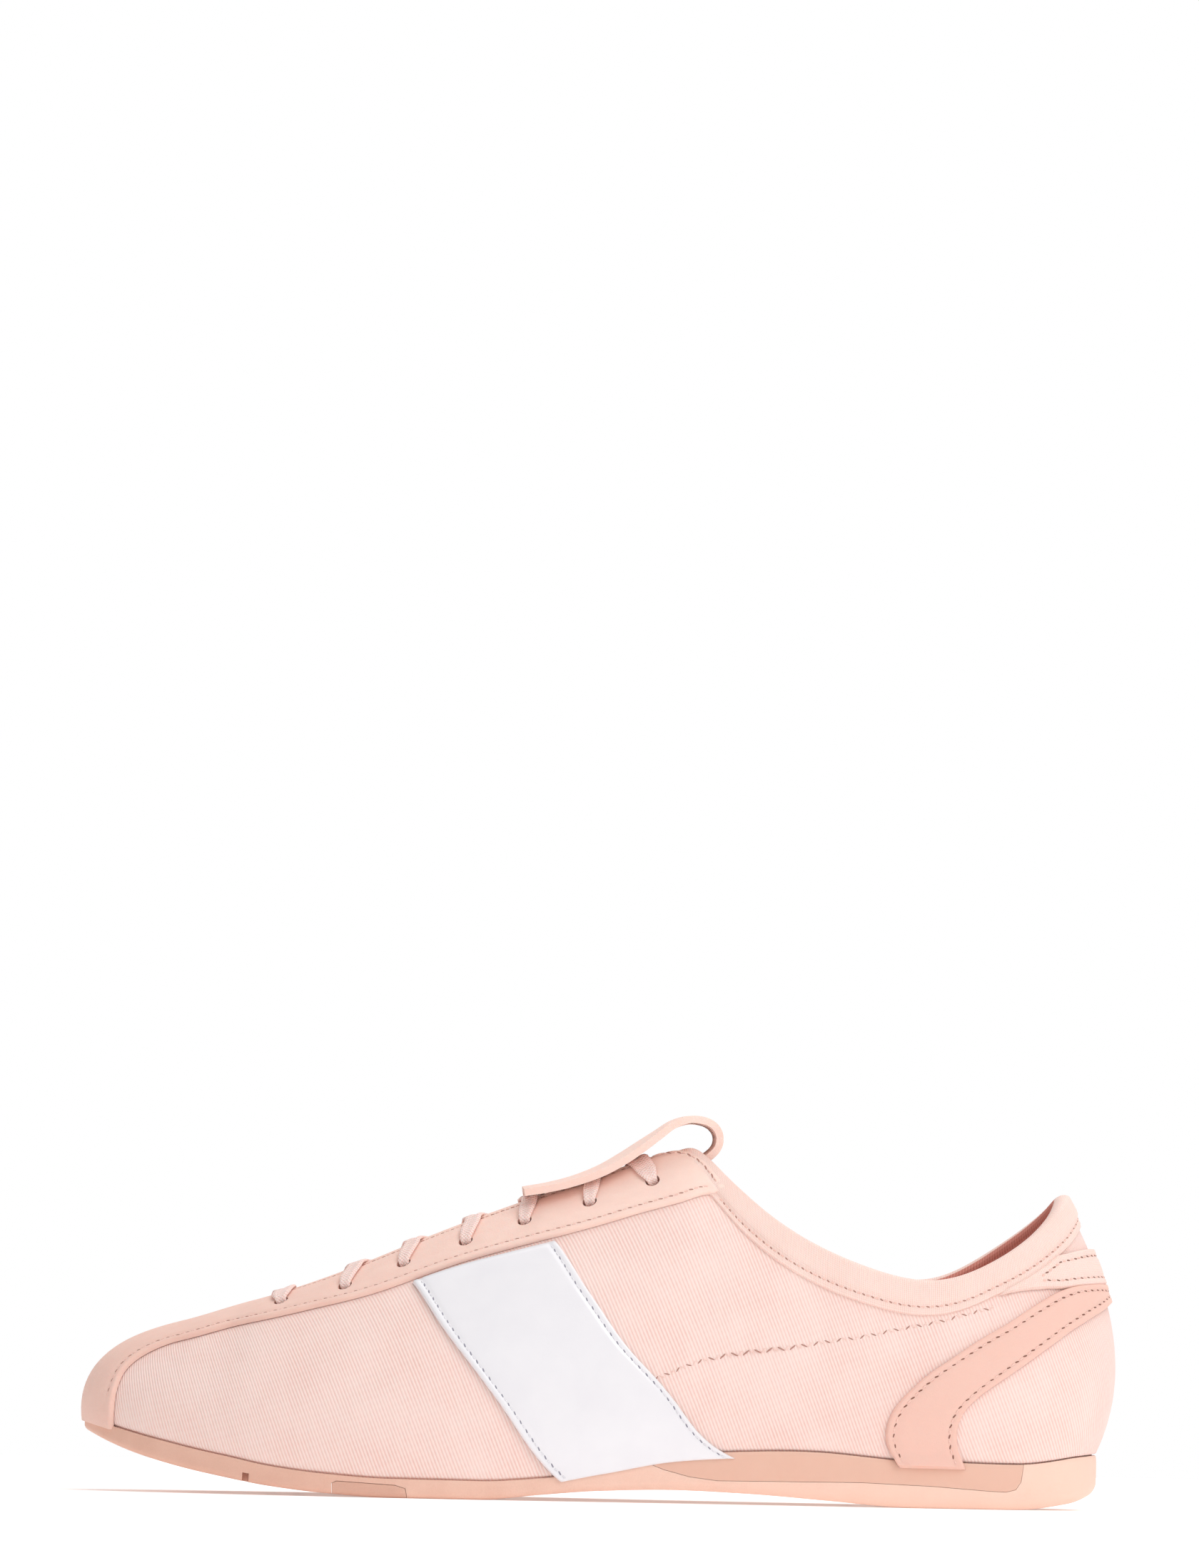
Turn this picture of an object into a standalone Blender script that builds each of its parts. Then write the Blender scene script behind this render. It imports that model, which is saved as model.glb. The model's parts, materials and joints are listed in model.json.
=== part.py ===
# A slim low top sneaker for the left foot: stretch fabric upper on a thin rubber sole, with a suede
# strip that runs from the toe up both sides of the throat, a heel strap and tab, a bound collar,
# a white saddle panel on each side, and a tongue that folds forward over the laces.
# Metres, +Z up. The toe points to -X, the outer side of the foot faces -Y, and the sole stands on Z = 0.

from collections import namedtuple
from math import atan2, cos, sin

import bmesh
import bpy
import numpy as np
from mathutils import Vector

# Driving sizes
LENGTH = 0.265
BALL_WIDTH = 0.085
INSTEP_HEIGHT = 0.0895
TOE_SPRING = 0.0162
HEEL_STACK = 0.0123
WALL = 0.0018
GAP = 0.00035
OVERLAY = 0.0009
PANEL_LIFT = 0.0006
TOE_EASE = 0.0005
LACE_LIFT = PANEL_LIFT + OVERLAY + 0.0004
BINDING = 0.0013
BINDING_DROP = 0.0095
TONGUE_THICKNESS = 0.0024
LACE_ROOM = 0.0026
TONGUE_REACH = 0.0095
TONGUE_NECK = 0.3
ARCH = 1.9
FLAP_WIDTH = 0.040
LACE_WIDTH = 0.0046
LACE_THICKNESS = 0.0014
EYELET_RADIUS = 0.0019
INSOLE_THICKNESS = 0.003
INSOLE_CLEARANCE = 0.0007
SOLE_MARGIN = 0.0007
SOLE_EDGE_ROUND = 0.0022
TREAD_DEPTH = 0.0012
TREAD_WIDTH = 0.0024
TREAD_RIM = 0.009
NOTCH_WIDTH = 0.0017
NOTCH_DEPTH = 0.0022

# One rib of the last for each row, from the toe tip to the back of the heel. A rib is a Bezier curve
# from the feather edge at the sole up to the top edge: the ridge, the throat's edge or the collar.
# x, top_x are shares of LENGTH; spine, half, top_half, flare and shoulder_out of BALL_WIDTH;
# top_z, rise and shoulder_z of INSTEP_HEIGHT. Spine is the middle line, towards the big toe if above 0.
Rib = namedtuple("Rib", "x spine half top_x top_half top_z flare rise shoulder_out shoulder_z")
RIBS = [
    Rib(0.006, 0.059, 0.000, 0.098, 0.000, 0.471, 0.024, 0.160, 0.172, -0.036),
    Rib(0.013, 0.059, 0.112, 0.102, 0.000, 0.475, 0.024, 0.160, 0.165, -0.028),
    Rib(0.034, 0.058, 0.210, 0.113, 0.000, 0.484, 0.027, 0.165, 0.160, -0.018),
    Rib(0.067, 0.052, 0.297, 0.131, 0.000, 0.501, 0.031, 0.175, 0.165, -0.010),
    Rib(0.115, 0.041, 0.374, 0.160, 0.000, 0.529, 0.035, 0.190, 0.182, -0.004),
    Rib(0.174, 0.028, 0.438, 0.194, 0.062, 0.561, 0.038, 0.213, 0.200, -0.022),
    Rib(0.249, 0.015, 0.482, 0.258, 0.098, 0.626, 0.040, 0.240, 0.225, -0.050),
    Rib(0.332, 0.004, 0.500, 0.336, 0.110, 0.720, 0.040, 0.265, 0.247, -0.072),
    Rib(0.415, -0.009, 0.485, 0.417, 0.116, 0.810, 0.040, 0.300, 0.258, -0.083),
    Rib(0.491, -0.021, 0.447, 0.492, 0.122, 0.890, 0.038, 0.320, 0.247, -0.094),
    Rib(0.551, -0.026, 0.414, 0.555, 0.134, 0.962, 0.035, 0.330, 0.224, -0.105),
    Rib(0.589, -0.025, 0.398, 0.589, 0.158, 0.986, 0.035, 0.320, 0.200, -0.132),
    Rib(0.630, -0.021, 0.384, 0.628, 0.235, 0.875, 0.035, 0.290, 0.141, -0.154),
    Rib(0.687, -0.015, 0.372, 0.685, 0.292, 0.755, 0.038, 0.243, 0.082, -0.165),
    Rib(0.755, -0.008, 0.362, 0.753, 0.315, 0.665, 0.040, 0.200, 0.053, -0.176),
    Rib(0.823, -0.003, 0.350, 0.817, 0.310, 0.631, 0.047, 0.177, 0.047, -0.187),
    Rib(0.883, 0.000, 0.318, 0.870, 0.270, 0.678, 0.066, 0.188, 0.065, -0.210),
    Rib(0.934, 0.000, 0.241, 0.909, 0.200, 0.748, 0.094, 0.204, 0.106, -0.243),
    Rib(0.967, 0.000, 0.129, 0.935, 0.110, 0.824, 0.106, 0.215, 0.141, -0.265),
    Rib(0.978, 0.000, 0.000, 0.945, 0.000, 0.870, 0.112, 0.221, 0.165, -0.276),
]
HEEL = len(RIBS) - 1
THROAT = 4.0
CORNER = 11.25
TOE_BEND = 0.19

# Side profile of the sole: x a share of LENGTH, lift of its underside a share of TOE_SPRING,
# and the height of its side wall a share of HEEL_STACK. Two stretches with no lift are its flat rests.
Sole = namedtuple("Sole", "x lift wall")
SOLE_ROWS = [
    Sole(0.000, 1.000, 0.230),
    Sole(0.030, 0.760, 0.350),
    Sole(0.057, 0.593, 0.407),
    Sole(0.098, 0.407, 0.440),
    Sole(0.140, 0.265, 0.440),
    Sole(0.181, 0.148, 0.415),
    Sole(0.234, 0.056, 0.400),
    Sole(0.298, 0.000, 0.395),
    Sole(0.381, 0.000, 0.385),
    Sole(0.445, 0.099, 0.345),
    Sole(0.498, 0.173, 0.465),
    Sole(0.566, 0.210, 0.700),
    Sole(0.640, 0.173, 0.870),
    Sole(0.720, 0.086, 0.985),
    Sole(0.800, 0.000, 0.970),
    Sole(0.898, 0.000, 0.935),
    Sole(0.951, 0.105, 0.935),
    Sole(0.985, 0.320, 0.740),
]

# Outlines seen from the side, x a share of LENGTH and z a share of INSTEP_HEIGHT
Point = namedtuple("Point", "x z")
STRIP_EDGE = [
    Point(0.033, 0.190), Point(0.033, 0.240), Point(0.036, 0.295), Point(0.044, 0.345),
    Point(0.060, 0.385), Point(0.084, 0.419), Point(0.117, 0.447), Point(0.167, 0.488),
    Point(0.218, 0.525), Point(0.281, 0.576), Point(0.358, 0.662), Point(0.436, 0.732),
    Point(0.517, 0.805), Point(0.575, 0.862),
]
PANEL_FRONT = [
    Point(0.316, 0.590), Point(0.346, 0.460), Point(0.385, 0.320), Point(0.425, 0.185), Point(0.462, 0.095),
]
PANEL_BACK = [
    Point(0.452, 0.720), Point(0.488, 0.560), Point(0.532, 0.390), Point(0.580, 0.245), Point(0.630, 0.160),
]
STRAP_TOP = [
    Point(0.792, 0.141), Point(0.781, 0.205), Point(0.784, 0.262), Point(0.797, 0.315), Point(0.821, 0.388),
    Point(0.853, 0.462), Point(0.888, 0.520), Point(0.920, 0.572), Point(0.948, 0.602),
]
STRAP_LOW = [
    Point(0.858, 0.139), Point(0.850, 0.200), Point(0.853, 0.262), Point(0.870, 0.320), Point(0.893, 0.378),
    Point(0.918, 0.438), Point(0.944, 0.494), Point(0.964, 0.530), Point(0.980, 0.560),
]
TAB_TOP = [Point(0.888, 0.606), Point(0.905, 0.655), Point(0.928, 0.705), Point(0.950, 0.732)]
TAB_LOW = [Point(0.884, 0.590), Point(0.905, 0.606), Point(0.928, 0.616), Point(0.950, 0.626)]
STRAP_BACK_TOP, STRAP_BACK_LOW = 0.628, 0.580
TAB_BACK_TOP, TAB_BACK_LOW = 0.742, 0.638
EYELETS = [
    Point(0.192, 0.540), Point(0.253, 0.588), Point(0.309, 0.656), Point(0.368, 0.722),
    Point(0.424, 0.784), Point(0.486, 0.842), Point(0.546, 0.906),
]

# Rear wedge of the midsole as it shows on the side: x a share of LENGTH, z of HEEL_STACK
WEDGE = [
    Point(0.526, 1.60), Point(0.533, 0.92), Point(0.560, 0.70), Point(0.585, 0.56), Point(0.612, 0.49),
    Point(0.750, 0.51), Point(0.819, 0.46), Point(0.875, 0.38), Point(0.890, 0.37), Point(0.899, 0.42),
    Point(0.904, 0.58), Point(0.911, 1.60),
]
TREAD_BLOCK = [
    Point(0.244, -0.40), Point(0.243, 0.28), Point(0.247, 0.325), Point(0.303, 0.262), Point(0.313, 0.20),
    Point(0.319, -0.40),
]
NOTCH_X = 0.162
FOREFOOT_GROOVES = [0.115, 0.140, 0.186, 0.211, 0.350, 0.378, 0.406]
HEEL_GROOVES = [0.740, 0.772, 0.890, 0.918]

# Fold of the tongue over the laces, along the face that turns inwards: x a share of LENGTH, z of
# INSTEP_HEIGHT, half the width and sag, how far the side edges lie off the middle, shares of FLAP_WIDTH
Fold = namedtuple("Fold", "x z half sag")
FOLDS = [
    Fold(0.604, 0.966, 0.330, 0.090),
    Fold(0.613, 1.002, 0.345, 0.080),
    Fold(0.615, 1.038, 0.380, 0.060),
    Fold(0.609, 1.070, 0.430, 0.030),
    Fold(0.596, 1.086, 0.475, 0.000),
    Fold(0.578, 1.084, 0.500, -0.020),
    Fold(0.558, 1.060, 0.500, -0.030),
    Fold(0.537, 1.022, 0.500, -0.035),
    Fold(0.514, 0.988, 0.500, -0.035),
    Fold(0.486, 0.954, 0.500, -0.030),
    Fold(0.456, 0.920, 0.500, -0.025),
    Fold(0.426, 0.888, 0.500, -0.020),
]
TONGUE_FRONT = 3.3
TONGUE_LAST = 10.6

COLOURS = {
    "outsole": ("#e3b49f", 0.62), "tread_block": ("#d8a891", 0.60), "midsole_wedge": ("#eec0aa", 0.50),
    "insole": ("#efc8bb", 0.85), "upper": ("#f5d9cf", 0.80), "eyestay": ("#f3c9bb", 0.90),
    "heel_strap": ("#f5cbbb", 0.90), "heel_tab": ("#fbdccf", 0.80), "collar_binding": ("#fce2d8", 0.75),
    "tongue": ("#f3c4b6", 0.88), "side_panel": ("#f1eef0", 0.22), "lace": ("#fadfd7", 0.80),
}


def column(name, scale):
    """The values of one column of RIBS as lengths, once round the shoe: down the outer side and back."""
    values = np.array([getattr(rib, name) for rib in RIBS]) * scale
    return np.concatenate([values, values[-2:0:-1]])


def loop_slopes(values):
    """Slopes of the smooth closed curve, with even curvature, through equally spaced values."""
    n = len(values)
    rows = np.eye(n) * 4 + np.roll(np.eye(n), 1, 0) + np.roll(np.eye(n), -1, 0)
    return np.linalg.solve(rows, 3 * (np.roll(values, -1) - np.roll(values, 1)))


def limited_slopes(values, knots, closed):
    """Slopes that never overshoot the values, so that a stretch of equal values stays level."""
    rises = np.diff(np.append(values, values[0]) if closed else values) / np.diff(knots)
    before, after = (np.roll(rises, 1), rises) if closed else (rises[:-1], rises[1:])
    total = before + after
    inner = np.where(before * after > 0, 2 * before * after / np.where(total == 0, 1, total), 0)
    return inner if closed else np.concatenate([rises[:1], inner, rises[-1:]])


def hermite(values, slopes, step, at):
    """Cubic between neighbours i and i + 1 of a list of values: at is the share of the way."""
    i, f = at
    a, b, p, q = values[i], values[i + 1], slopes[i] * step, slopes[i + 1] * step
    return (
        a * (1 + 2 * f) * (1 - f) ** 2 + p * f * (1 - f) ** 2 + b * f * f * (3 - 2 * f) + q * f * f * (f - 1)
    )


ROUND = 2 * HEEL
HALF_SIGN = np.concatenate([-np.ones(HEEL + 1), np.ones(HEEL - 1)])
SMOOTH = {
    name: column(name, scale)
    for name, scale in (
        ("x", LENGTH), ("spine", BALL_WIDTH), ("half", BALL_WIDTH), ("top_x", LENGTH),
        ("top_z", INSTEP_HEIGHT), ("flare", BALL_WIDTH), ("rise", INSTEP_HEIGHT),
        ("shoulder_out", BALL_WIDTH), ("shoulder_z", INSTEP_HEIGHT),
    )
}
SMOOTH["half"] = SMOOTH["half"] * HALF_SIGN
SLOPES = {name: loop_slopes(values) for name, values in SMOOTH.items()}
TOP_OFFSET = column("top_half", BALL_WIDTH) * HALF_SIGN


def along(name, w):
    """One column at places w round the shoe, 0 at the toe, HEEL at the heel, back to ROUND at the toe."""
    w = np.mod(w, ROUND)
    i = np.minimum(w.astype(int), ROUND - 1)
    values, slopes = (np.append(a, a[0]) for a in (SMOOTH[name], SLOPES[name]))
    return hermite(values, slopes, 1.0, (i, w - i))


def top_offset(w):
    """Offset of the top edge from the middle line: nothing along the ridge, then the throat and collar."""
    w = np.mod(w, ROUND)
    i = np.minimum(w.astype(int), ROUND - 1)
    values = np.append(TOP_OFFSET, TOP_OFFSET[0])
    slopes = limited_slopes(TOP_OFFSET, np.arange(ROUND + 1.0), True)
    return hermite(values, np.append(slopes, slopes[0]), 1.0, (i, w - i))


def profile(name, scale, x):
    """A column of SOLE_ROWS at distances x from the toe tip, level where the rows are level."""
    knots = np.array([row.x for row in SOLE_ROWS]) * LENGTH
    values = np.array([getattr(row, name) for row in SOLE_ROWS]) * scale
    x = np.clip(x, knots[0], knots[-1])
    i = np.clip(np.searchsorted(knots, x, "right") - 1, 0, len(knots) - 2)
    step = knots[i + 1] - knots[i]
    return hermite(values, limited_slopes(values, knots, False), step, (i, (x - knots[i]) / step))


def sole_bottom(x):
    return profile("lift", TOE_SPRING, x)


def sole_top(x):
    return sole_bottom(x) + profile("wall", HEEL_STACK, x)


def outward(w):
    """Unit directions, level, square to the feather edge and away from the shoe."""
    small = 1e-3
    dx = along("x", w + small) - along("x", w - small)
    dy = edge_y(w + small) - edge_y(w - small)
    size = np.hypot(dx, dy)
    return np.stack([dy / size, -dx / size, np.zeros_like(size)], -1)


def edge_y(w):
    return along("spine", w) + along("half", w)


def controls(w):
    """The four Bezier points of the ribs at w, each (n, 3), measured from the toe tip."""
    away = outward(w)
    up = np.array([0.0, 0.0, 1.0])
    foot = np.stack([along("x", w), edge_y(w), sole_top(along("x", w)) + GAP], -1)
    head = np.stack([along("top_x", w), along("spine", w) + top_offset(w), along("top_z", w)], -1)
    bulge = foot + away * along("flare", w)[:, None] + up * along("rise", w)[:, None]
    shoulder = head + away * along("shoulder_out", w)[:, None] + up * along("shoulder_z", w)[:, None]
    return foot, bulge, shoulder, head


def surface(w, v):
    """Points of the last at places w round it and shares v of the way up each rib."""
    w, v = np.broadcast_arrays(np.asarray(w, float), np.asarray(v, float))
    a, b, c, d = controls(w.ravel())
    f = v.ravel()[:, None]
    points = a * (1 - f) ** 3 + 3 * b * f * (1 - f) ** 2 + 3 * c * f * f * (1 - f) + d * f**3
    return points.reshape(*w.shape, 3)


def skin(w, v, lift):
    """Points at a height lift above the last, measured square to it."""
    w, v = np.broadcast_arrays(np.asarray(w, float), np.asarray(v, float))
    small = 2e-3
    across = surface(w + small, v) - surface(w - small, v)
    rising = surface(w, v + small) - surface(w, v - small)
    square = np.cross(across, rising)
    square /= np.linalg.norm(square, axis=-1, keepdims=True)
    return surface(w, v) + square * np.asarray(lift)[..., None]


def below_edge(w, distance):
    """The share v up each rib at w that lies a distance below its top edge, along the surface."""
    steps = np.linspace(1, 0, 61)
    found = []
    for place, far in zip(*np.broadcast_arrays(np.asarray(w, float), np.asarray(distance, float))):
        points = surface(np.full(61, place), steps)
        run = np.concatenate([[0], np.cumsum(np.linalg.norm(np.diff(points, axis=0), axis=1))])
        found.append(np.interp(far, run, steps))
    return np.array(found)


def located(points, side):
    """Places (w, v) of points given from the side as (x, z), on the outer (-1) or inner (+1) side."""
    target = np.array([(p.x * LENGTH, p.z * INSTEP_HEIGHT) for p in points])
    grid_w, grid_v = np.meshgrid(np.linspace(0.02, HEEL - 0.02, 240), np.linspace(0, 1, 81), indexing="ij")
    seen = surface(turned(grid_w, side), grid_v)[..., [0, 2]].reshape(-1, 2)
    w, v = np.zeros(len(target)), np.zeros(len(target))
    for i, wanted in enumerate(target):
        nearest = np.argmin(np.sum((seen - wanted) ** 2, axis=1))
        w[i], v[i] = grid_w.ravel()[nearest], grid_v.ravel()[nearest]
    small = 1e-3
    for _ in range(12):
        here = surface(turned(w, side), v)[:, [0, 2]]
        by_w = (surface(turned(w + small, side), v)[:, [0, 2]] - here) / small
        by_v = (surface(turned(w, side), v + small)[:, [0, 2]] - here) / small
        turn = by_w[:, 0] * by_v[:, 1] - by_w[:, 1] * by_v[:, 0]
        turn = np.where(np.abs(turn) < 1e-9, 1e-9, turn)
        off = target - here
        w = np.clip(w + np.clip((off[:, 0] * by_v[:, 1] - off[:, 1] * by_v[:, 0]) / turn, -0.2, 0.2), 0, HEEL)
        v = np.clip(v + np.clip((by_w[:, 0] * off[:, 1] - by_w[:, 1] * off[:, 0]) / turn, -0.1, 0.1), 0, 1)
    return np.stack([w, v], -1)


def turned(w, side):
    """The place w, counted from the toe, as a place round the shoe on the outer or the inner side."""
    return w if side < 0 else ROUND - w


def flowing(points, count):
    """count points on a smooth curve through the given ones, evenly spaced along it."""
    points = np.asarray(points, float)
    ends = np.vstack([2 * points[0] - points[1], points, 2 * points[-1] - points[-2]])
    slopes = (ends[2:] - ends[:-2]) / 2
    fine = np.linspace(0, len(points) - 1, 40 * len(points))
    i = np.minimum(fine.astype(int), len(points) - 2)
    curve = hermite(points, slopes, 1.0, (i, (fine - i)[:, None]))
    run = np.concatenate([[0], np.cumsum(np.linalg.norm(np.diff(curve, axis=0), axis=1))])
    even = np.linspace(0, run[-1], count)
    return np.stack([np.interp(even, run, curve[:, k]) for k in range(points.shape[1])], -1)


CENTRE = np.array([LENGTH / 2, 0.0, 0.0])
COLLECTION = bpy.data.collections.new("low_top_sneaker")
CUTTERS = bpy.data.collections.new("cutters")


def finish_of(name):
    """The part's plain colour and roughness as a Principled material."""
    key = next(key for key in COLOURS if name.startswith(key))
    shade, roughness = COLOURS[key]
    material = bpy.data.materials.get(key) or bpy.data.materials.new(key)
    material.use_nodes = True
    shader = material.node_tree.nodes["Principled BSDF"]
    encoded = [int(shade[i : i + 2], 16) / 255 for i in (1, 3, 5)]
    linear = [c / 12.92 if c <= 0.04045 else ((c + 0.055) / 1.055) ** 2.4 for c in encoded]
    shader.inputs["Base Color"].default_value = (*linear, 1)
    shader.inputs["Roughness"].default_value = roughness
    return material


def made(name, points, faces, cutter=False):
    """A mesh object of points measured from the toe tip, with its doubles merged and its faces turned out."""
    mesh = bpy.data.meshes.new(name)
    mesh.from_pydata([tuple(p) for p in np.asarray(points, float).reshape(-1, 3) - CENTRE], [], faces)
    work = bmesh.new()
    work.from_mesh(mesh)
    bmesh.ops.remove_doubles(work, verts=work.verts, dist=1e-5)
    bmesh.ops.dissolve_degenerate(work, edges=work.edges, dist=1e-6)
    bmesh.ops.recalc_face_normals(work, faces=work.faces)
    work.to_mesh(mesh)
    work.free()
    obj = bpy.data.objects.new(name, mesh)
    (CUTTERS if cutter else COLLECTION).objects.link(obj)
    if cutter:
        obj.hide_render = True
        obj.display_type = "WIRE"
    else:
        mesh.materials.append(finish_of(name))
        mesh.shade_smooth()
        mesh.set_sharp_from_angle(angle=0.9)
    return obj


def grid_faces(rows, columns, start=0, closed=False):
    """Quads of a grid of points, row by row. A closed one joins its last row to its first."""
    faces = []
    for i in range(rows if closed else rows - 1):
        after = (i + 1) % rows
        for j in range(columns - 1):
            a, b = start + i * columns + j, start + after * columns + j
            faces.append((a, b, b + 1, a + 1))
    return faces


def outward_facing(obj):
    """Turns an open shell so that its faces look away from the middle of the shoe."""
    middle = Vector((0, 0, INSTEP_HEIGHT * 0.35))
    total = sum(
        p.area * p.normal.dot((p.center - middle).normalized()) for p in obj.data.polygons
    )
    if total < 0:
        obj.data.flip_normals()


def shell(name, points, faces, thickness):
    """A wall of the given thickness whose outer face is the open surface."""
    obj = made(name, points, faces)
    outward_facing(obj)
    wall = obj.modifiers.new("wall", "SOLIDIFY")
    wall.thickness = thickness
    wall.offset = -1
    wall.use_even_offset = True
    return obj


def patch(low, high, columns):
    """Places (w, v) of a grid between two edges with as many points as each other."""
    share = np.linspace(0, 1, columns)[None, :, None]
    return low[:, None, :] * (1 - share) + high[:, None, :] * share


def cut(obj, cutter, operation="DIFFERENCE"):
    boolean = obj.modifiers.new(cutter.name, "BOOLEAN")
    boolean.operation = operation
    boolean.object = cutter
    return obj


def side_prism(name, outline, height_scale, grow=0.0):
    """A cutter right across the shoe, of an outline seen from the side, grown all round."""
    flat = np.array([(p.x * LENGTH, p.z * height_scale) for p in outline])
    after, before = np.roll(flat, -1, 0), np.roll(flat, 1, 0)
    run = after - before
    away = np.stack([run[:, 1], -run[:, 0]], -1) / np.linalg.norm(run, axis=1)[:, None]
    area = np.sum(flat[:, 0] * after[:, 1] - after[:, 0] * flat[:, 1])
    flat = flat + away * grow * np.sign(area)
    n, reach = len(flat), BALL_WIDTH
    points = [(x, y, z) for y in (-reach, reach) for x, z in flat]
    faces = [tuple(range(n)), tuple(range(2 * n - 1, n - 1, -1))]
    faces += [(i, (i + 1) % n, n + (i + 1) % n, n + i) for i in range(n)]
    return made(name, points, faces, cutter=True)


def capped_rings(rings):
    """Points and faces of a body of rings round the shoe, each running toe, heel and back, with ladder caps."""
    n = len(rings[0])
    faces = []
    for k in range(len(rings) - 1):
        faces += [
            (k * n + i, k * n + (i + 1) % n, (k + 1) * n + (i + 1) % n, (k + 1) * n + i) for i in range(n)
        ]
    for start in (0, (len(rings) - 1) * n):
        for i in range(n // 2):
            corners = [start + i, start + i + 1, start + n - i - 1, start + (n - i) % n]
            faces.append(tuple(dict.fromkeys(corners)))
    return np.concatenate(rings), faces


def round_places(per_rib):
    """Places all round the shoe, the same on both sides."""
    half = np.linspace(0, HEEL, HEEL * per_rib + 1)
    return np.concatenate([half, ROUND - half[-2:0:-1]])


def sole_ring(w, inset, height):
    """A ring at a distance inside the sole's edge. Height is a share of the side wall, from its underside."""
    away = outward(w)
    edge = np.stack([along("x", w), edge_y(w), np.zeros_like(w)], -1) + away * (SOLE_MARGIN - inset)
    low, high = sole_bottom(edge[:, 0]), sole_top(edge[:, 0])
    edge[:, 2] = low + (high - low) * height
    return edge


def whole_sole(name, w, cutter=False):
    """The full body of the sole, with a rounded lower edge and a side wall that leans in a little."""
    rings = [
        sole_ring(w, SOLE_EDGE_ROUND, 0),
        sole_ring(w, SOLE_EDGE_ROUND * 0.35, 0.06),
        sole_ring(w, 0, 0.28),
        sole_ring(w, 0, 0.85),
        sole_ring(w, SOLE_EDGE_ROUND * 0.15, 1),
    ]
    return made(name, *capped_rings(rings), cutter=cutter)


def groove(name, x, half_width, depth, half_length):
    """A cutter for one groove across the tread, following the slope of the underside there."""
    step = 0.004
    slope = atan2(float(sole_bottom(x + step) - sole_bottom(x - step)), 2 * step)
    along_run, up = np.array([cos(slope), 0, sin(slope)]), np.array([-sin(slope), 0, cos(slope)])
    middle = np.array([x, float(np.interp(x / LENGTH, *spine_line())), float(sole_bottom(x))])
    corners = [
        middle + along_run * a * half_width + up * b + np.array([0, c * half_length, 0])
        for c in (-1, 1) for b in (-0.004, depth) for a in (-1, 1)
    ]
    faces = [(0, 1, 3, 2), (4, 6, 7, 5), (0, 4, 5, 1), (2, 3, 7, 6), (0, 2, 6, 4), (1, 5, 7, 3)]
    return made(name, corners, faces, cutter=True)


def spine_line():
    """The middle line seen from above, as shares of LENGTH and offsets."""
    return [rib.x for rib in RIBS], [rib.spine * BALL_WIDTH for rib in RIBS]


def half_width_at(x):
    return float(np.interp(x / LENGTH, [rib.x for rib in RIBS], [rib.half * BALL_WIDTH for rib in RIBS]))


def make_sole():
    """Outsole, rear wedge and forefoot tread block, all parts of one body, 0.35 mm apart."""
    w = round_places(2)
    wedge = cut(whole_sole("midsole_wedge", w), side_prism("wedge_form", WEDGE, HEEL_STACK), "INTERSECT")
    block = cut(whole_sole("tread_block", w), side_prism("block_form", TREAD_BLOCK, HEEL_STACK), "INTERSECT")
    outsole = whole_sole("outsole", w)
    cut(outsole, side_prism("wedge_pocket", WEDGE, HEEL_STACK, GAP))
    cut(outsole, side_prism("block_pocket", TREAD_BLOCK, HEEL_STACK, GAP))
    cut(outsole, groove("notch", NOTCH_X * LENGTH, NOTCH_WIDTH / 2, NOTCH_DEPTH, BALL_WIDTH))
    for i, share in enumerate(FOREFOOT_GROOVES + HEEL_GROOVES):
        x = share * LENGTH
        cut(outsole, groove(f"groove_{i}", x, TREAD_WIDTH / 2, TREAD_DEPTH, half_width_at(x) - TREAD_RIM))
    return outsole, wedge, block


def make_insole():
    """A thin sock liner inside the upper, resting on the sole."""
    w = round_places(2)

    def ring(inset, height):
        edge = sole_ring(w, SOLE_MARGIN + WALL + INSOLE_CLEARANCE + inset, 1)
        edge[:, 2] += GAP + height
        return edge

    rings = [ring(0.0004, 0), ring(0, INSOLE_THICKNESS * 0.4), ring(0.0007, INSOLE_THICKNESS)]
    return made("insole", *capped_rings(rings))


def upper_places():
    """Places round the upper, closer together round the toe, the heel and the throat's top corner."""
    half = np.unique(
        np.concatenate([
            np.linspace(0, 3, 8), np.linspace(3, THROAT, 3), np.linspace(THROAT, 10, 8),
            np.linspace(10, 11, 3), np.linspace(11, 12, 4), np.linspace(12, HEEL, 13),
        ])
    )
    return np.concatenate([half, ROUND - half[-2:0:-1]])


def make_upper():
    """The fabric upper: ribs all round, joined along the ridge of the toe, open at throat and collar."""
    w = upper_places()
    v = np.linspace(0, 1, 11)
    points = skin(w[:, None], v[None, :], 0.0)
    points[:, -1] = surface(w, np.ones(len(w)))
    points[:, 0] = surface(w, np.zeros(len(w)))
    return shell("upper", points, grid_faces(len(w), len(v), closed=True), WALL)


def strip_centre():
    """Places along the strip's middle: up the toe's rib, then along the ridge and the throat's edge."""
    toe = np.stack([np.zeros(13), np.linspace(0, 1, 13)], -1)
    ridge = np.stack([np.linspace(0, CORNER, 80), np.ones(80)], -1)[1:]
    path = np.vstack([toe, ridge])
    real = surface(path[:, 0], path[:, 1])
    run = np.concatenate([[0], np.cumsum(np.linalg.norm(np.diff(real, axis=0), axis=1))])
    return path, run


def even_places(path, run, shares):
    at = np.asarray(shares) * run[-1]
    return np.stack([np.interp(at, run, path[:, k]) for k in range(2)], -1)


def strip_edge(side, count):
    """The strip's lower edge as places, from the sole at the toe to the throat's top corner."""
    inner = located(STRIP_EDGE, side)
    first = np.array([[inner[0, 0] - 0.02, 0.030]])
    last = np.array([[CORNER, below_edge([turned(CORNER, side)], [0.0105])[0]]])
    return flowing(np.vstack([first, inner, last]), count)


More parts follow.
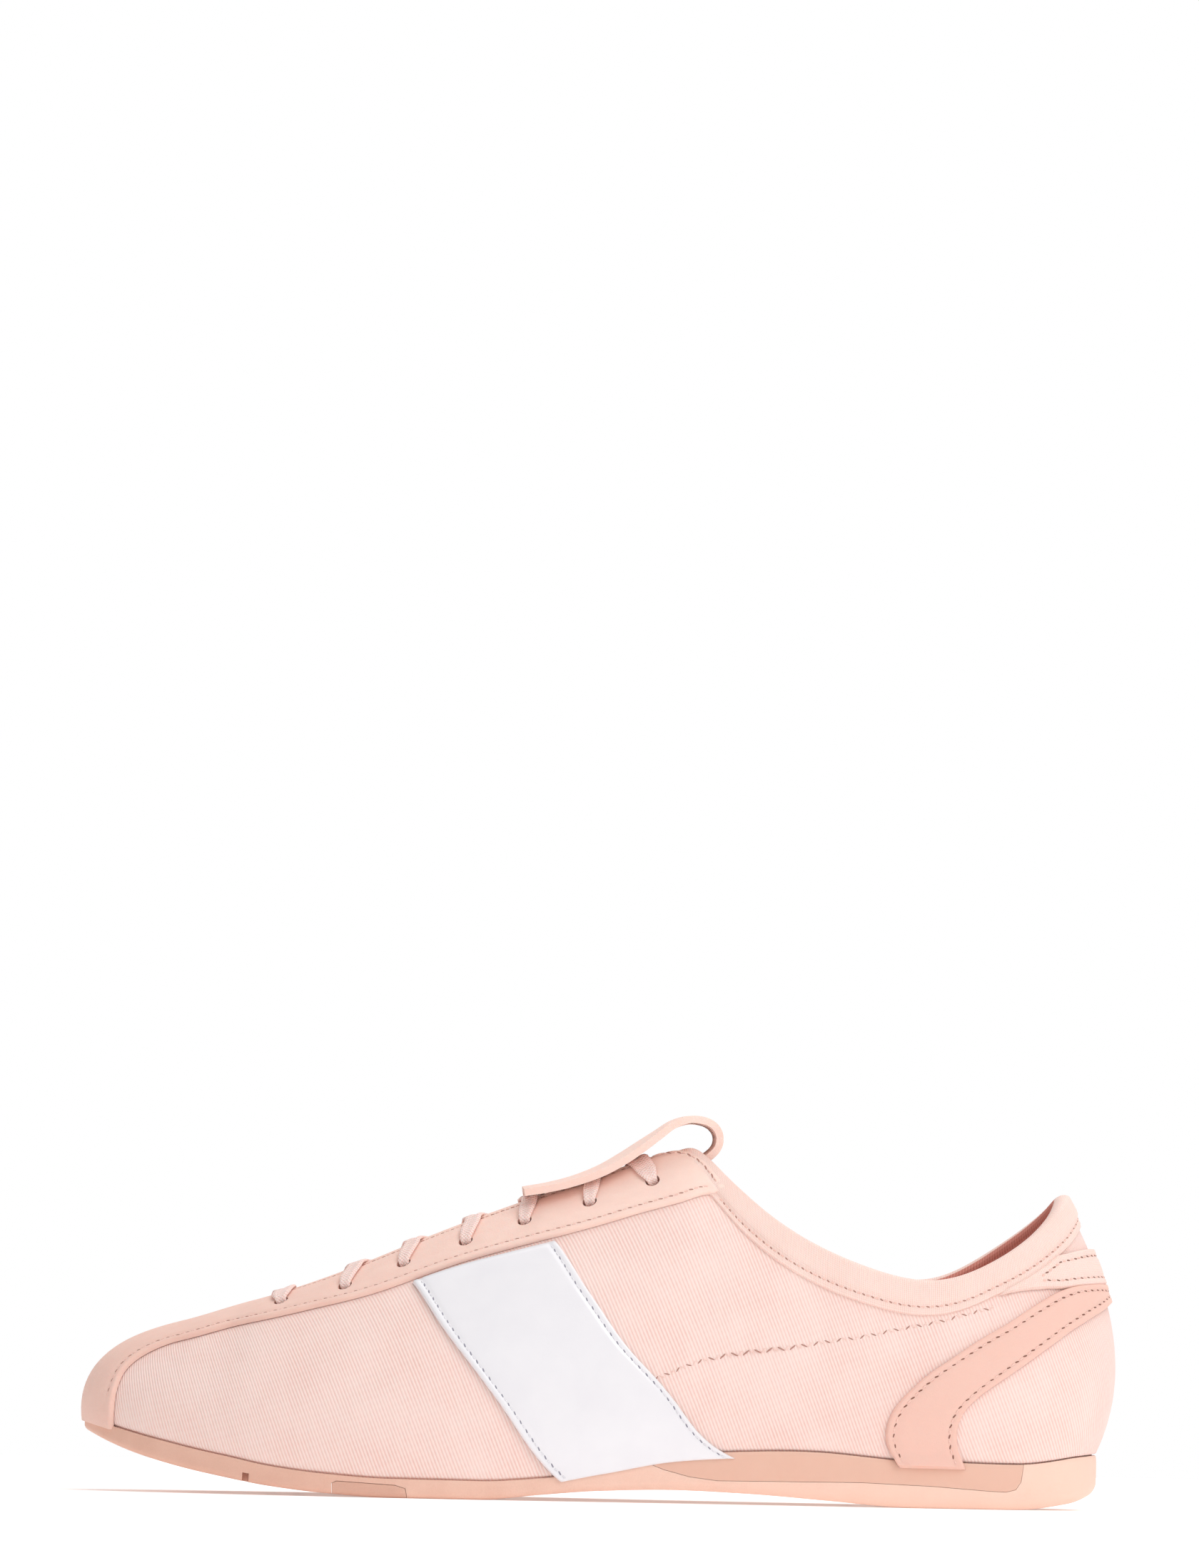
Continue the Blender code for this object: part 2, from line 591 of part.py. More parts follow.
def strip_grids(count=42, columns=5):
    """Grids of places over the strip's two halves, each from the shared middle line to its lower edge."""
    path, run = strip_centre()
    edges = {side: strip_edge(side, count) for side in (-1, 1)}
    shares = []
    for side, edge in edges.items():
        real = surface(turned(edge[:, 0], side), edge[:, 1])
        far = np.concatenate([[0], np.cumsum(np.linalg.norm(np.diff(real, axis=0), axis=1))])
        shares.append(far / far[-1])
    shares = np.mean(shares, axis=0)
    toe_share = run[12] / run[-1]
    late = toe_share + (shares - TOE_BEND) / (1 - TOE_BEND) * (1 - toe_share)
    matched = np.where(shares < TOE_BEND, shares / TOE_BEND * toe_share, late)
    middle = even_places(path, run, matched)
    return {side: patch(middle, edge, columns) for side, edge in edges.items()}


def make_eyestay():
    """Suede strip from the toe that parts at the throat and runs up both sides of it, with its eyelets."""
    grids = strip_grids()
    real = {}
    for side, grid in grids.items():
        lift = PANEL_LIFT + OVERLAY + TOE_EASE * np.clip(1 - grid[..., 0] / 3, 0, 1)
        real[side] = skin(turned(grid[..., 0], side), grid[..., 1], lift)
    middle = grids[-1][:, 0]
    shared = (middle[:, 0] < 1e-6) | ((middle[:, 1] > 1 - 1e-6) & (middle[:, 0] <= THROAT + 1e-6))
    seam = (real[-1][:, 0] + real[1][:, 0]) / 2
    seam[:, 1] = along("spine", middle[:, 0])
    points, faces, start = [], [], 0
    for side in (-1, 1):
        real[side][shared, 0] = seam[shared]
        rows, columns = real[side].shape[:2]
        points.append(real[side].reshape(-1, 3))
        faces += grid_faces(rows, columns, start=start)
        start += rows * columns
    return shell("eyestay", np.concatenate(points), faces, OVERLAY)


def make_side_panel(name, side):
    """White saddle panel from under the strip down to the sole."""
    front, back = (
        flowing(located(edge, side), 11) for edge in (PANEL_FRONT, PANEL_BACK)
    )
    clear = 0.0012
    for edge in (front, back):
        top = strip_edge(side, 200)
        real = surface(turned(top[:, 0], side), top[:, 1])
        x = surface(turned(edge[:1, 0], side), edge[:1, 1])[0, 0]
        nearest = np.argmin(np.abs(real[:, 0] - x))
        start = top[nearest]
        drop = below_edge([turned(start[0], side)], [reach_down(start, side) + clear])[0]
        edge[:] = flowing(np.vstack([[start[0], drop], edge[3:-1], [edge[-1, 0], 0.0]]), len(edge))
    grid = np.stack([patch(front, back, 9)], 0)[0]
    top = strip_edge(side, 200)
    under = np.interp(grid[0, :, 0], top[20:, 0], top[20:, 1])
    lowered = below_edge(
        turned(grid[0, :, 0], side),
        [reach_down((place, share), side) + clear for place, share in zip(grid[0, :, 0], under)],
    )
    shift = (lowered - grid[0, :, 1])[None, :] * np.linspace(1, 0, len(front))[:, None] ** 2
    grid[..., 1] += shift
    real = skin(turned(grid[..., 0], side), grid[..., 1], PANEL_LIFT + OVERLAY)
    return shell(name, real, grid_faces(*grid.shape[:2]), OVERLAY)


def reach_down(place, side):
    """Distance along the surface from the top edge down to a place."""
    steps = np.linspace(1, place[1], 40)
    points = surface(np.full(40, turned(place[0], side)), steps)
    return float(np.sum(np.linalg.norm(np.diff(points, axis=0), axis=1)))


def height_on_heel(share):
    """The share v up the rib at the back of the heel that is this share of INSTEP_HEIGHT high."""
    v = np.linspace(0, 1, 400)
    return float(np.interp(share * INSTEP_HEIGHT, surface(np.full(400, float(HEEL)), v)[:, 2], v))


def round_the_heel(edge, back, count):
    """An edge on the outer side carried round the back of the heel to the inner side, as places round."""
    outer = located(edge, -1)
    inner = located(edge, 1)[::-1]
    inner[:, 0] = ROUND - inner[:, 0]
    return flowing(np.vstack([outer, [[HEEL, back]], inner]), count)


def heel_band(name, top, low, back_top, back_low, count, columns, lift):
    upper_edge = round_the_heel(top, height_on_heel(back_top), count)
    lower_edge = round_the_heel(low, height_on_heel(back_low), count)
    for edge in (upper_edge, lower_edge):
        clear = below_edge(edge[:, 0], np.full(count, BINDING_DROP + GAP * 2))
        edge[:, 1] = np.clip(edge[:, 1], 0, clear)
    grid = patch(lower_edge, upper_edge, columns)
    real = skin(grid[..., 0], grid[..., 1], lift + OVERLAY)
    return shell(name, real, grid_faces(*grid.shape[:2]), OVERLAY)


def make_binding():
    """Stretch binding folded over the collar: a U shaped section carried round the top edge."""
    w = np.sort(upper_places())
    w = w[(w > CORNER + 0.2) & (w < ROUND - CORNER - 0.2)]
    outer, inner = GAP, -WALL - GAP
    section = [
        (BINDING_DROP, outer), (BINDING_DROP, outer + BINDING * 0.5), (BINDING_DROP * 0.7, outer + BINDING),
        (BINDING_DROP * 0.12, outer + BINDING), (-GAP - BINDING * 0.8, outer), (-GAP - BINDING, -WALL * 0.5),
        (-GAP - BINDING * 0.8, inner), (BINDING_DROP * 0.12, inner - BINDING),
        (BINDING_DROP, inner - BINDING), (BINDING_DROP, inner), (BINDING_DROP * 0.5, inner), (-GAP, inner),
        (-GAP, outer), (BINDING_DROP * 0.5, outer),
    ]
    rings = []
    for down, lift in section:
        if down >= 0:
            rings.append(skin(w, below_edge(w, np.full(len(w), down)), np.full(len(w), lift)))
        else:
            rim = surface(w, np.ones(len(w)))
            rising = rim - surface(w, np.full(len(w), 0.97))
            rising /= np.linalg.norm(rising, axis=1)[:, None]
            rings.append(skin(w, np.full(len(w), 1.0), np.full(len(w), lift)) - rising * down)
    points = np.stack(rings, 1)
    n, m = points.shape[:2]
    faces = [
        (i * m + j, (i + 1) * m + j, (i + 1) * m + (j + 1) % m, i * m + (j + 1) % m)
        for i in range(n - 1) for j in range(m)
    ]
    faces += [tuple(range(m)), tuple(range((n - 1) * m, n * m))]
    return made("collar_binding", points, faces)


def instep_section(place, columns):
    """Points across the tongue's top face under the throat at one place, from outer to inner side."""
    depth = -(WALL + LACE_ROOM)
    reach = TONGUE_REACH * np.interp(place, [TONGUE_LAST - 2.2, TONGUE_LAST], [1, TONGUE_NECK])
    legs = []
    for side in (-1, 1):
        w = turned(np.array([place, place]), side)
        v = below_edge(w, [reach, reach * 0.45])
        legs.append(skin(w, v, np.array([depth, depth])))
    (a, b), (d, c) = legs[0], legs[1]
    b, c = a + (b - a) * ARCH, d + (c - d) * ARCH
    f = np.linspace(0, 1, columns)[:, None]
    return a * (1 - f) ** 3 + 3 * b * f * (1 - f) ** 2 + 3 * c * f * f * (1 - f) + d * f**3


def fold_sections(start, columns, count):
    """Sections of the fold, from the last one under the throat round and forward to the flap's end."""
    middle = start[columns // 2]
    half = (start[-1][1] - start[0][1]) / 2
    rows = [(middle[0], middle[2], half, middle[2] - start[0][2])]
    rows += [(f.x * LENGTH, f.z * INSTEP_HEIGHT, f.half * FLAP_WIDTH, f.sag * FLAP_WIDTH) for f in FOLDS]
    path = flowing(rows, count + 1)
    run = np.gradient(path[:, :2], axis=0)
    run /= np.linalg.norm(run, axis=1)[:, None]
    shift = (start[-1][1] + start[0][1]) / 2 * np.linspace(1, 0, count + 1)
    across = np.linspace(-1, 1, columns)
    off = path[:, 3, None] * across**2
    x = path[:, 0, None] + run[:, 1, None] * off
    z = path[:, 1, None] - run[:, 0, None] * off
    y = path[:, 2, None] * across + shift[:, None]
    return list(np.stack([x, y, z], -1)[1:])


def make_tongue():
    """Tongue under the throat that folds up, back and forward over the laces, as one sheet."""
    columns = 7
    sections = [instep_section(place, columns) for place in np.linspace(TONGUE_FRONT, TONGUE_LAST, 16)]
    sections += fold_sections(sections[-1], columns, 20)
    obj = made("tongue", np.stack(sections), grid_faces(len(sections), columns))
    front = [p for p in obj.data.polygons if p.center.x < 0 and p.center.z < INSTEP_HEIGHT * 0.8]
    if sum(p.area * p.normal.z for p in front) < 0:
        obj.data.flip_normals()
    wall = obj.modifiers.new("wall", "SOLIDIFY")
    wall.thickness = TONGUE_THICKNESS
    wall.offset = -1
    wall.use_even_offset = True
    return obj


def eyelet_cutter(index, side, place):
    """A punch through eyestay and upper at one eyelet, square to the surface."""
    w, v = np.array([turned(place[0], side)]), np.array([place[1]])
    low, high = skin(w, v, np.array([-0.004]))[0], skin(w, v, np.array([0.004]))[0]
    axis = Vector(high - low)
    work = bmesh.new()
    bmesh.ops.create_cone(
        work, cap_ends=True, segments=8, radius1=EYELET_RADIUS, radius2=EYELET_RADIUS, depth=axis.length
    )
    mesh = bpy.data.meshes.new(f"punch_{index}")
    turn = axis.to_track_quat("Z", "Y").to_matrix().to_4x4()
    turn.translation = Vector((low + high) / 2 - CENTRE)
    bmesh.ops.transform(work, matrix=turn, verts=work.verts)
    work.to_mesh(mesh)
    work.free()
    obj = bpy.data.objects.new(f"punch_{index}", mesh)
    CUTTERS.objects.link(obj)
    obj.hide_render = True
    obj.display_type = "WIRE"
    return obj


def strand(name, points, ups):
    """A flat lace along points with its up directions, as a closed tube of six sides."""
    run = np.gradient(points, axis=0)
    run /= np.linalg.norm(run, axis=1)[:, None]
    across = np.cross(run, ups)
    across /= np.linalg.norm(across, axis=1)[:, None]
    ups = np.cross(across, run)
    half, thin = LACE_WIDTH / 2, LACE_THICKNESS / 2
    ring = np.array([(half, 0), (half * 0.7, thin), (-half * 0.7, thin), (-half, 0), (-half * 0.7, -thin),
                     (half * 0.7, -thin)])
    body = points[:, None] + across[:, None] * ring[None, :, :1] + ups[:, None] * ring[None, :, 1:]
    n, m = body.shape[:2]
    faces = [
        (i * m + j, (i + 1) * m + j, (i + 1) * m + (j + 1) % m, i * m + (j + 1) % m)
        for i in range(n - 1) for j in range(m)
    ]
    faces += [tuple(range(m)), tuple(range((n - 1) * m, n * m))]
    return made(name, body, faces)


def over_edge(place, side, tilt):
    """Lace from above one eyelet over the throat's edge: points and up directions."""
    reach = reach_down(place, side)
    shares = np.array([1.0, 0.62, 0.3, 0.0])
    w = np.array([turned(place[0] + tilt * (1 - s), side) for s in shares])
    v = below_edge(w, reach * shares)
    lift = LACE_LIFT + LACE_THICKNESS / 2
    on = skin(w, v, np.full(4, lift))
    up = on - skin(w, v, np.zeros(4))
    return on, up / np.linalg.norm(up, axis=1)[:, None]


def under_edge(place, side, tilt):
    """Lace that dives under the throat's edge and ends below an eyelet: points and up directions."""
    reach = reach_down(place, side)
    shares = np.array([0.0, 0.45, 0.85])
    w = np.array([turned(place[0] + tilt * (1 - s), side) for s in shares])
    v = below_edge(w, reach * shares)
    drop = WALL + (LACE_ROOM - LACE_THICKNESS) / 2 + LACE_THICKNESS / 2
    on = skin(w, v, np.full(3, -drop))
    up = skin(w, v, np.zeros(3)) - on
    return on, up / np.linalg.norm(up, axis=1)[:, None]


def crossing(index, lower, upper):
    """Two strands that cross in the gap and are joined there. Each starts on the throat's edge at the
    lower pair of eyelets and dives under the far edge at the upper pair."""
    pair = []
    for side in (-1, 1):
        on, up = over_edge(lower[side], side, 0.18)
        on[-1] += up[-1] * LACE_THICKNESS * 0.3
        far, far_up = under_edge(upper[-side], -side, -0.16)
        far[0] += np.array([0, side * 0.0018, 0])
        middle = on[-1] * 0.5 + far[0] * 0.5 + np.array([0, 0, LACE_THICKNESS * 0.7])
        points = flowing(np.vstack([on, middle[None], far]), 11)
        ups = flowing(np.vstack([up, [[0, 0, 1]], far_up]), 11)
        pair.append(strand(f"lace_crossing_{index}" if side < 0 else f"lace_strand_{index}", points, ups))
    second = pair[1]
    COLLECTION.objects.unlink(second)
    CUTTERS.objects.link(second)
    second.hide_render = True
    second.display_type = "WIRE"
    return cut(pair[0], second, "UNION")


def straight_bar(name, pair, bow):
    """One strand straight over from eyelet to eyelet. A bow above 0 carries its middle forward."""
    left, left_up = over_edge(pair[-1], -1, -bow * 0.35)
    right, right_up = over_edge(pair[1], 1, -bow * 0.35)
    middle = (left[-1] + right[-1]) / 2 + np.array([-bow * 0.002, 0, 0.0004 + bow * 0.0005])
    points = flowing(np.vstack([left, middle[None], right[::-1]]), 15)
    ups = flowing(np.vstack([left_up, [[0, 0, 1]], right_up[::-1]]), 15)
    return strand(name, points, ups)


def make_laces():
    """Straight bar at the first pair of eyelets, crossings above it, and a bowed bar under the flap."""
    places = {side: located(EYELETS, side) for side in (-1, 1)}
    pairs = [{side: places[side][i] for side in (-1, 1)} for i in range(len(EYELETS))]
    straight_bar("lace_bar_front", pairs[0], 0.0)
    for i in range(1, len(pairs) - 1):
        crossing(i, pairs[i], pairs[i + 1])
    straight_bar("lace_bar_top", pairs[-1], 1.0)


def main():
    for obj in list(bpy.data.objects):
        bpy.data.objects.remove(obj)
    for collection in (COLLECTION, CUTTERS):
        bpy.context.scene.collection.children.link(collection)
    make_sole()
    make_insole()
    upper = make_upper()
    eyestay = make_eyestay()
    index = 0
    for side in (-1, 1):
        for place in located(EYELETS, side):
            punch = eyelet_cutter(index, side, place)
            cut(upper, punch)
            cut(eyestay, punch)
            index += 1
    make_side_panel("side_panel_outer", -1)
    make_side_panel("side_panel_inner", 1)
    heel_band("heel_strap", STRAP_TOP, STRAP_LOW, STRAP_BACK_TOP, STRAP_BACK_LOW, 35, 4, PANEL_LIFT)
    heel_band("heel_tab", TAB_TOP, TAB_LOW, TAB_BACK_TOP, TAB_BACK_LOW, 25, 3, PANEL_LIFT)
    make_binding()
    make_tongue()
    make_laces()


main()
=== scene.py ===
import json
import logging
from dataclasses import dataclass
from enum import Enum
from math import atan, cos, pi, radians, sin
from typing import Optional, Sequence

import bmesh
import bpy
import numpy as np
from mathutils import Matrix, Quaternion, Vector

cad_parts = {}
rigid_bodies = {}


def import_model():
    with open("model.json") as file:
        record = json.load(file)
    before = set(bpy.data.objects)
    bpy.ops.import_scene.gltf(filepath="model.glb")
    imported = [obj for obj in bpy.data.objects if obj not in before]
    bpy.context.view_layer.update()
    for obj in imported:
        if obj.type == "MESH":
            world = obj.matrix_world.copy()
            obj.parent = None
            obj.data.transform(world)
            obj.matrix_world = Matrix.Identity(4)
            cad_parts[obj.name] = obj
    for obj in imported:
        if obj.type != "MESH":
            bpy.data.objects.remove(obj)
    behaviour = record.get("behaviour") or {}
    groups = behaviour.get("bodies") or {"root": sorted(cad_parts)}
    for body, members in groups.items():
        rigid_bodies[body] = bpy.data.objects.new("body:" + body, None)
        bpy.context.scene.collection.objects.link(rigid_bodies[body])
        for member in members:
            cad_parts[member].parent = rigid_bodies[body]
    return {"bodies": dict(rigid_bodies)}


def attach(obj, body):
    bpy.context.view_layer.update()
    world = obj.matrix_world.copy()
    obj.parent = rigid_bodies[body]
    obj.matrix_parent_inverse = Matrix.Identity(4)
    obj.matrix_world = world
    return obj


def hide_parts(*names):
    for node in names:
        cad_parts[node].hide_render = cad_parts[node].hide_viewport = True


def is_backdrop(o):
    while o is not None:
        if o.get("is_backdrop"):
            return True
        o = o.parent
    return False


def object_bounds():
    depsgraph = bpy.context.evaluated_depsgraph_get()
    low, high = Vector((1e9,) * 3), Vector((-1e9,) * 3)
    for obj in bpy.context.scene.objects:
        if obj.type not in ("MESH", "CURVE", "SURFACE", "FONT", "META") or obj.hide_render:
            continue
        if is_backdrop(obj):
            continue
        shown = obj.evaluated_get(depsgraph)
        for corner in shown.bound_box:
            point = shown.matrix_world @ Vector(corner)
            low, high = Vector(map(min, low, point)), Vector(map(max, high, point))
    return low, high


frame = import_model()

LOG = logging.getLogger("low_top_sneaker")

# Sizes in metres, the same as those of the solids
LENGTH = 0.265
BALL_WIDTH = 0.085
INSTEP_HEIGHT = 0.0895
TOE_SPRING = 0.0162
HEEL_STACK = 0.0123
WALL = 0.0018
GAP = 0.00035
OVERLAY = 0.0009
PANEL_LIFT = 0.0006
BINDING = 0.0013
LACE_ROOM = 0.0026
TONGUE_REACH = 0.0095
TONGUE_NECK = 0.3
ARCH = 1.9
FLAP_WIDTH = 0.040
LACE_WIDTH = 0.0046
EYELET_RADIUS = 0.0019
INSOLE_THICKNESS = 0.003
INSOLE_CLEARANCE = 0.0007
SOLE_MARGIN = 0.0007
SOLE_EDGE_ROUND = 0.0022
TREAD_DEPTH = 0.0012
TREAD_WIDTH = 0.0024
TREAD_RIM = 0.009
NOTCH_WIDTH = 0.0017
NOTCH_DEPTH = 0.0022
THROAT = 4.0
CORNER = 11.25
TOE_BEND = 0.19
TONGUE_FRONT = 3.3
TONGUE_LAST = 10.6

# The last's ribs from the toe tip to the heel
RIB_COLUMNS = ("x", "spine", "half", "top_x", "top_half", "top_z", "flare", "rise", "shoulder_out",
               "shoulder_z")
RIB_UNITS = (LENGTH, BALL_WIDTH, BALL_WIDTH, LENGTH, BALL_WIDTH, INSTEP_HEIGHT, BALL_WIDTH, INSTEP_HEIGHT,
             BALL_WIDTH, INSTEP_HEIGHT)
RIBS = np.array([
    (0.006, 0.059, 0, 0.098, 0, 0.471, 0.024, 0.16, 0.172, -0.036),
    (0.013, 0.059, 0.112, 0.102, 0, 0.475, 0.024, 0.16, 0.165, -0.028),
    (0.034, 0.058, 0.21, 0.113, 0, 0.484, 0.027, 0.165, 0.16, -0.018),
    (0.067, 0.052, 0.297, 0.131, 0, 0.501, 0.031, 0.175, 0.165, -0.01),
    (0.115, 0.041, 0.374, 0.16, 0, 0.529, 0.035, 0.19, 0.182, -0.004),
    (0.174, 0.028, 0.438, 0.194, 0.062, 0.561, 0.038, 0.213, 0.2, -0.022),
    (0.249, 0.015, 0.482, 0.258, 0.098, 0.626, 0.04, 0.24, 0.225, -0.05),
    (0.332, 0.004, 0.5, 0.336, 0.11, 0.72, 0.04, 0.265, 0.247, -0.072),
    (0.415, -0.009, 0.485, 0.417, 0.116, 0.81, 0.04, 0.3, 0.258, -0.083),
    (0.491, -0.021, 0.447, 0.492, 0.122, 0.89, 0.038, 0.32, 0.247, -0.094),
    (0.551, -0.026, 0.414, 0.555, 0.134, 0.962, 0.035, 0.33, 0.224, -0.105),
    (0.589, -0.025, 0.398, 0.589, 0.158, 0.986, 0.035, 0.32, 0.2, -0.132),
    (0.63, -0.021, 0.384, 0.628, 0.235, 0.875, 0.035, 0.29, 0.141, -0.154),
    (0.687, -0.015, 0.372, 0.685, 0.292, 0.755, 0.038, 0.243, 0.082, -0.165),
    (0.755, -0.008, 0.362, 0.753, 0.315, 0.665, 0.04, 0.2, 0.053, -0.176),
    (0.823, -0.003, 0.35, 0.817, 0.31, 0.631, 0.047, 0.177, 0.047, -0.187),
    (0.883, 0, 0.318, 0.87, 0.27, 0.678, 0.066, 0.188, 0.065, -0.21),
    (0.934, 0, 0.241, 0.909, 0.2, 0.748, 0.094, 0.204, 0.106, -0.243),
    (0.967, 0, 0.129, 0.935, 0.11, 0.824, 0.106, 0.215, 0.141, -0.265),
    (0.978, 0, 0, 0.945, 0, 0.87, 0.112, 0.221, 0.165, -0.276),
])
HEEL = len(RIBS) - 1
ROUND = 2 * HEEL

# Sole: x, lift of the underside, height of the side wall
SOLE_ROWS = np.array([
    (0, 1, 0.23), (0.03, 0.76, 0.35), (0.057, 0.593, 0.407), (0.098, 0.407, 0.44), (0.14, 0.265, 0.44),
    (0.181, 0.148, 0.415), (0.234, 0.056, 0.4), (0.298, 0, 0.395), (0.381, 0, 0.385), (0.445, 0.099, 0.345),
    (0.498, 0.173, 0.465), (0.566, 0.21, 0.7), (0.64, 0.173, 0.87), (0.72, 0.086, 0.985), (0.8, 0, 0.97),
    (0.898, 0, 0.935), (0.951, 0.105, 0.935), (0.985, 0.32, 0.74),
])

# Outlines from the side: x a share of LENGTH, z a share of INSTEP_HEIGHT
STRIP_EDGE = np.array([
    (0.033, 0.19), (0.033, 0.24), (0.036, 0.295), (0.044, 0.345), (0.06, 0.385), (0.084, 0.419),
    (0.117, 0.447), (0.167, 0.488), (0.218, 0.525), (0.281, 0.576), (0.358, 0.662), (0.436, 0.732),
    (0.517, 0.803), (0.575, 0.855), (0.6, 0.876), (0.6165, 0.888),
])
PANEL_FRONT = np.array([
    (0.316, 0.59), (0.346, 0.46), (0.385, 0.32), (0.425, 0.185), (0.462, 0.095),
])
PANEL_BACK = np.array([
    (0.452, 0.72), (0.488, 0.56), (0.532, 0.39), (0.58, 0.245), (0.63, 0.16),
])
STRAP_TOP = np.array([
    (0.786, 0.141), (0.773, 0.205), (0.775, 0.262), (0.789, 0.315), (0.816, 0.388), (0.852, 0.462),
    (0.888, 0.528), (0.918, 0.588), (0.946, 0.632),
])
STRAP_LOW = np.array([
    (0.85, 0.139), (0.841, 0.2), (0.844, 0.262), (0.862, 0.32), (0.889, 0.378), (0.917, 0.438),
    (0.944, 0.498), (0.964, 0.538), (0.98, 0.568),
])
TAB_TOP = np.array([
    (0.872, 0.625), (0.895, 0.672), (0.922, 0.712), (0.95, 0.734),
])
TAB_LOW = np.array([
    (0.87, 0.6), (0.9, 0.62), (0.925, 0.628), (0.95, 0.633),
])
EYELETS = np.array([
    (0.192, 0.54), (0.253, 0.588), (0.309, 0.656), (0.368, 0.722), (0.424, 0.784), (0.486, 0.842),
    (0.546, 0.906),
])
WAVY_SEAM = np.array([
    (0.452, 0.3), (0.5, 0.318), (0.542, 0.341), (0.61, 0.417), (0.672, 0.445), (0.734, 0.476), (0.789, 0.51),
    (0.837, 0.543), (0.878, 0.578),
])
STRAP_BACK_TOP, STRAP_BACK_LOW = 0.645, 0.588
TAB_BACK_TOP, TAB_BACK_LOW = 0.744, 0.641

# x a share of LENGTH, z a share of HEEL_STACK
WEDGE = np.array([
    (0.526, 1.6), (0.533, 0.92), (0.56, 0.7), (0.585, 0.56), (0.612, 0.49), (0.75, 0.51), (0.819, 0.46),
    (0.875, 0.38), (0.89, 0.37), (0.899, 0.42), (0.904, 0.58), (0.911, 1.6),
])
TREAD_BLOCK = np.array([
    (0.244, -0.4), (0.243, 0.28), (0.247, 0.325), (0.303, 0.262), (0.313, 0.2), (0.319, -0.4),
])
NOTCH_X = 0.162
FOREFOOT_GROOVES = (0.115, 0.14, 0.186, 0.211, 0.35, 0.378, 0.406)
HEEL_GROOVES = (0.74, 0.772, 0.89, 0.918)

# Fold of the tongue: x, z, half the width, sag of the edges
FOLDS = np.array([
    (0.5825, 0.976, 0.33, 0.02), (0.5935, 0.995, 0.335, 0.02), (0.602, 1.019, 0.35, 0.018),
    (0.6035, 1.045, 0.38, 0.014), (0.599, 1.066, 0.43, 0.01), (0.59, 1.0785, 0.47, 0.003),
    (0.5785, 1.0815, 0.5, -0.005), (0.565, 1.069, 0.5, -0.012), (0.551, 1.041, 0.5, -0.02),
    (0.536, 1.011, 0.5, -0.028), (0.518, 0.9745, 0.5, -0.03), (0.497, 0.9365, 0.5, -0.024),
    (0.4725, 0.905, 0.5, -0.016), (0.4475, 0.8835, 0.5, -0.012), (0.4226, 0.869, 0.5, -0.01),
])

# How much higher the cloth's rim stands than the solids': rib, outer side, inner side
RIM_LIFT = (
    (6, 0.0006, 0.0006), (7, 0.0012, 0.0012), (8, 0.0017, 0.0017), (9, 0.0018, 0.0018), (10, 0.0018, 0.0018),
    (11, 0.0002, 0.0002), (12, 0.0006, 0.0006), (15, 0.0, 0.0004), (16, 0.0003, 0.0024), (17, 0.0008, 0.0034),
    (18, 0.001, 0.0026), (19, 0.0012, 0.0012),
)
# Drop of the collar band below the rim: place round the shoe, drop
BAND_DROP = np.array([
    (10, 0.008), (10.8, 0.011), (11.3, 0.0116), (12, 0.0113), (13, 0.0097), (14, 0.0084), (15, 0.0076),
    (16, 0.0074), (17, 0.0081), (18, 0.0083), (19, 0.0076),
])
SINK = 0.0006
RECESS = 0.0008
BAND_FRONT = 10.15
FLAP_THICKNESS = 0.00185
# Joint between the sole's parts, and how far the sole's upper edge and the bands over it lie apart
SEAM = 0.00009
TOUCH = 0.0001

Array = np.ndarray
SIDES = (-1, 1)
SIDE_NAMES = {-1: "outer", 1: "inner"}
MM = 0.001
CENTRE = np.array([LENGTH / 2, 0.0, 0.0])
INSIDE = Vector((0, 0, 0.35 * INSTEP_HEIGHT))

# Points at which long curves are measured
FINE = 1200
# The sole's side wall: shares of SOLE_EDGE_ROUND that each ring lies in, and of the wall's height
CURVE_TOP = 0.28
WALL_RINGS = ((0, 0.45), (0, 0.62), (0, 0.8), (0.03, 0.9), (0.08, 0.97), (0.16, 1.0), (0.22, 0.99))
# The sock liner's edge: how far in each ring lies, and its share of the liner's height
LINER_RINGS = ((0.0004, 0.0), (0.0, 0.4), (0.0002, 0.8), (0.0007, 0.95), (0.0016, 1.0))
# Rounding that a mould leaves at the sole's cut edges, and a knife at the tongue's
MOULD_ROUND = 0.00025
KNIFE_ROUND = 0.0007
# Half the length of the notches by the toe and the lean of their floor
NOTCH_REACH = 0.006
NOTCH_LEAN = 0.0008

# Shader values that all finishes share
SHEEN_ROUGHNESS = 0.45
COAT_ROUGHNESS = 0.12
SCATTER_RADIUS = (1.0, 0.35, 0.25)
SCATTER_DEPTH = 1.6 * MM
# Sizes in millimetres of the patches in suede and rubber, of those in cloth, and of the streaks in the nap
PATCH = 9.0
CLOTH_PATCH = 14.0
STREAK = 2.2
NAP_STRETCH = (0.35, 1.0, 1.0)

# A bead of thread: where its rings lie, their sizes, and how it is flattened and bowed
BEAD_SIDES = 6
BEAD_RINGS = np.array([-1.0, -0.82, -0.35, 0.35, 0.82, 1.0])
BEAD_SIZES = np.array([0.25, 0.8, 1.0, 1.0, 0.8, 0.25])
BEAD_FLATNESS = 0.6
BEAD_BOW = 0.9
BEAD_RISE = 0.00008

# Lamps: name, place, size in metres, power in watts
LAMPS = (
    ("key_lamp", (0.62, -0.75, 0.95), 0.7, 6.6),
    ("fill_lamp", (-0.9, -1.3, 0.5), 1.0, 1.3),
    ("back_lamp", (0.5, 1.2, 1.1), 1.0, 8.0),
    ("top_lamp", (0.1, 0.1, 1.5), 1.2, 7.8),
)


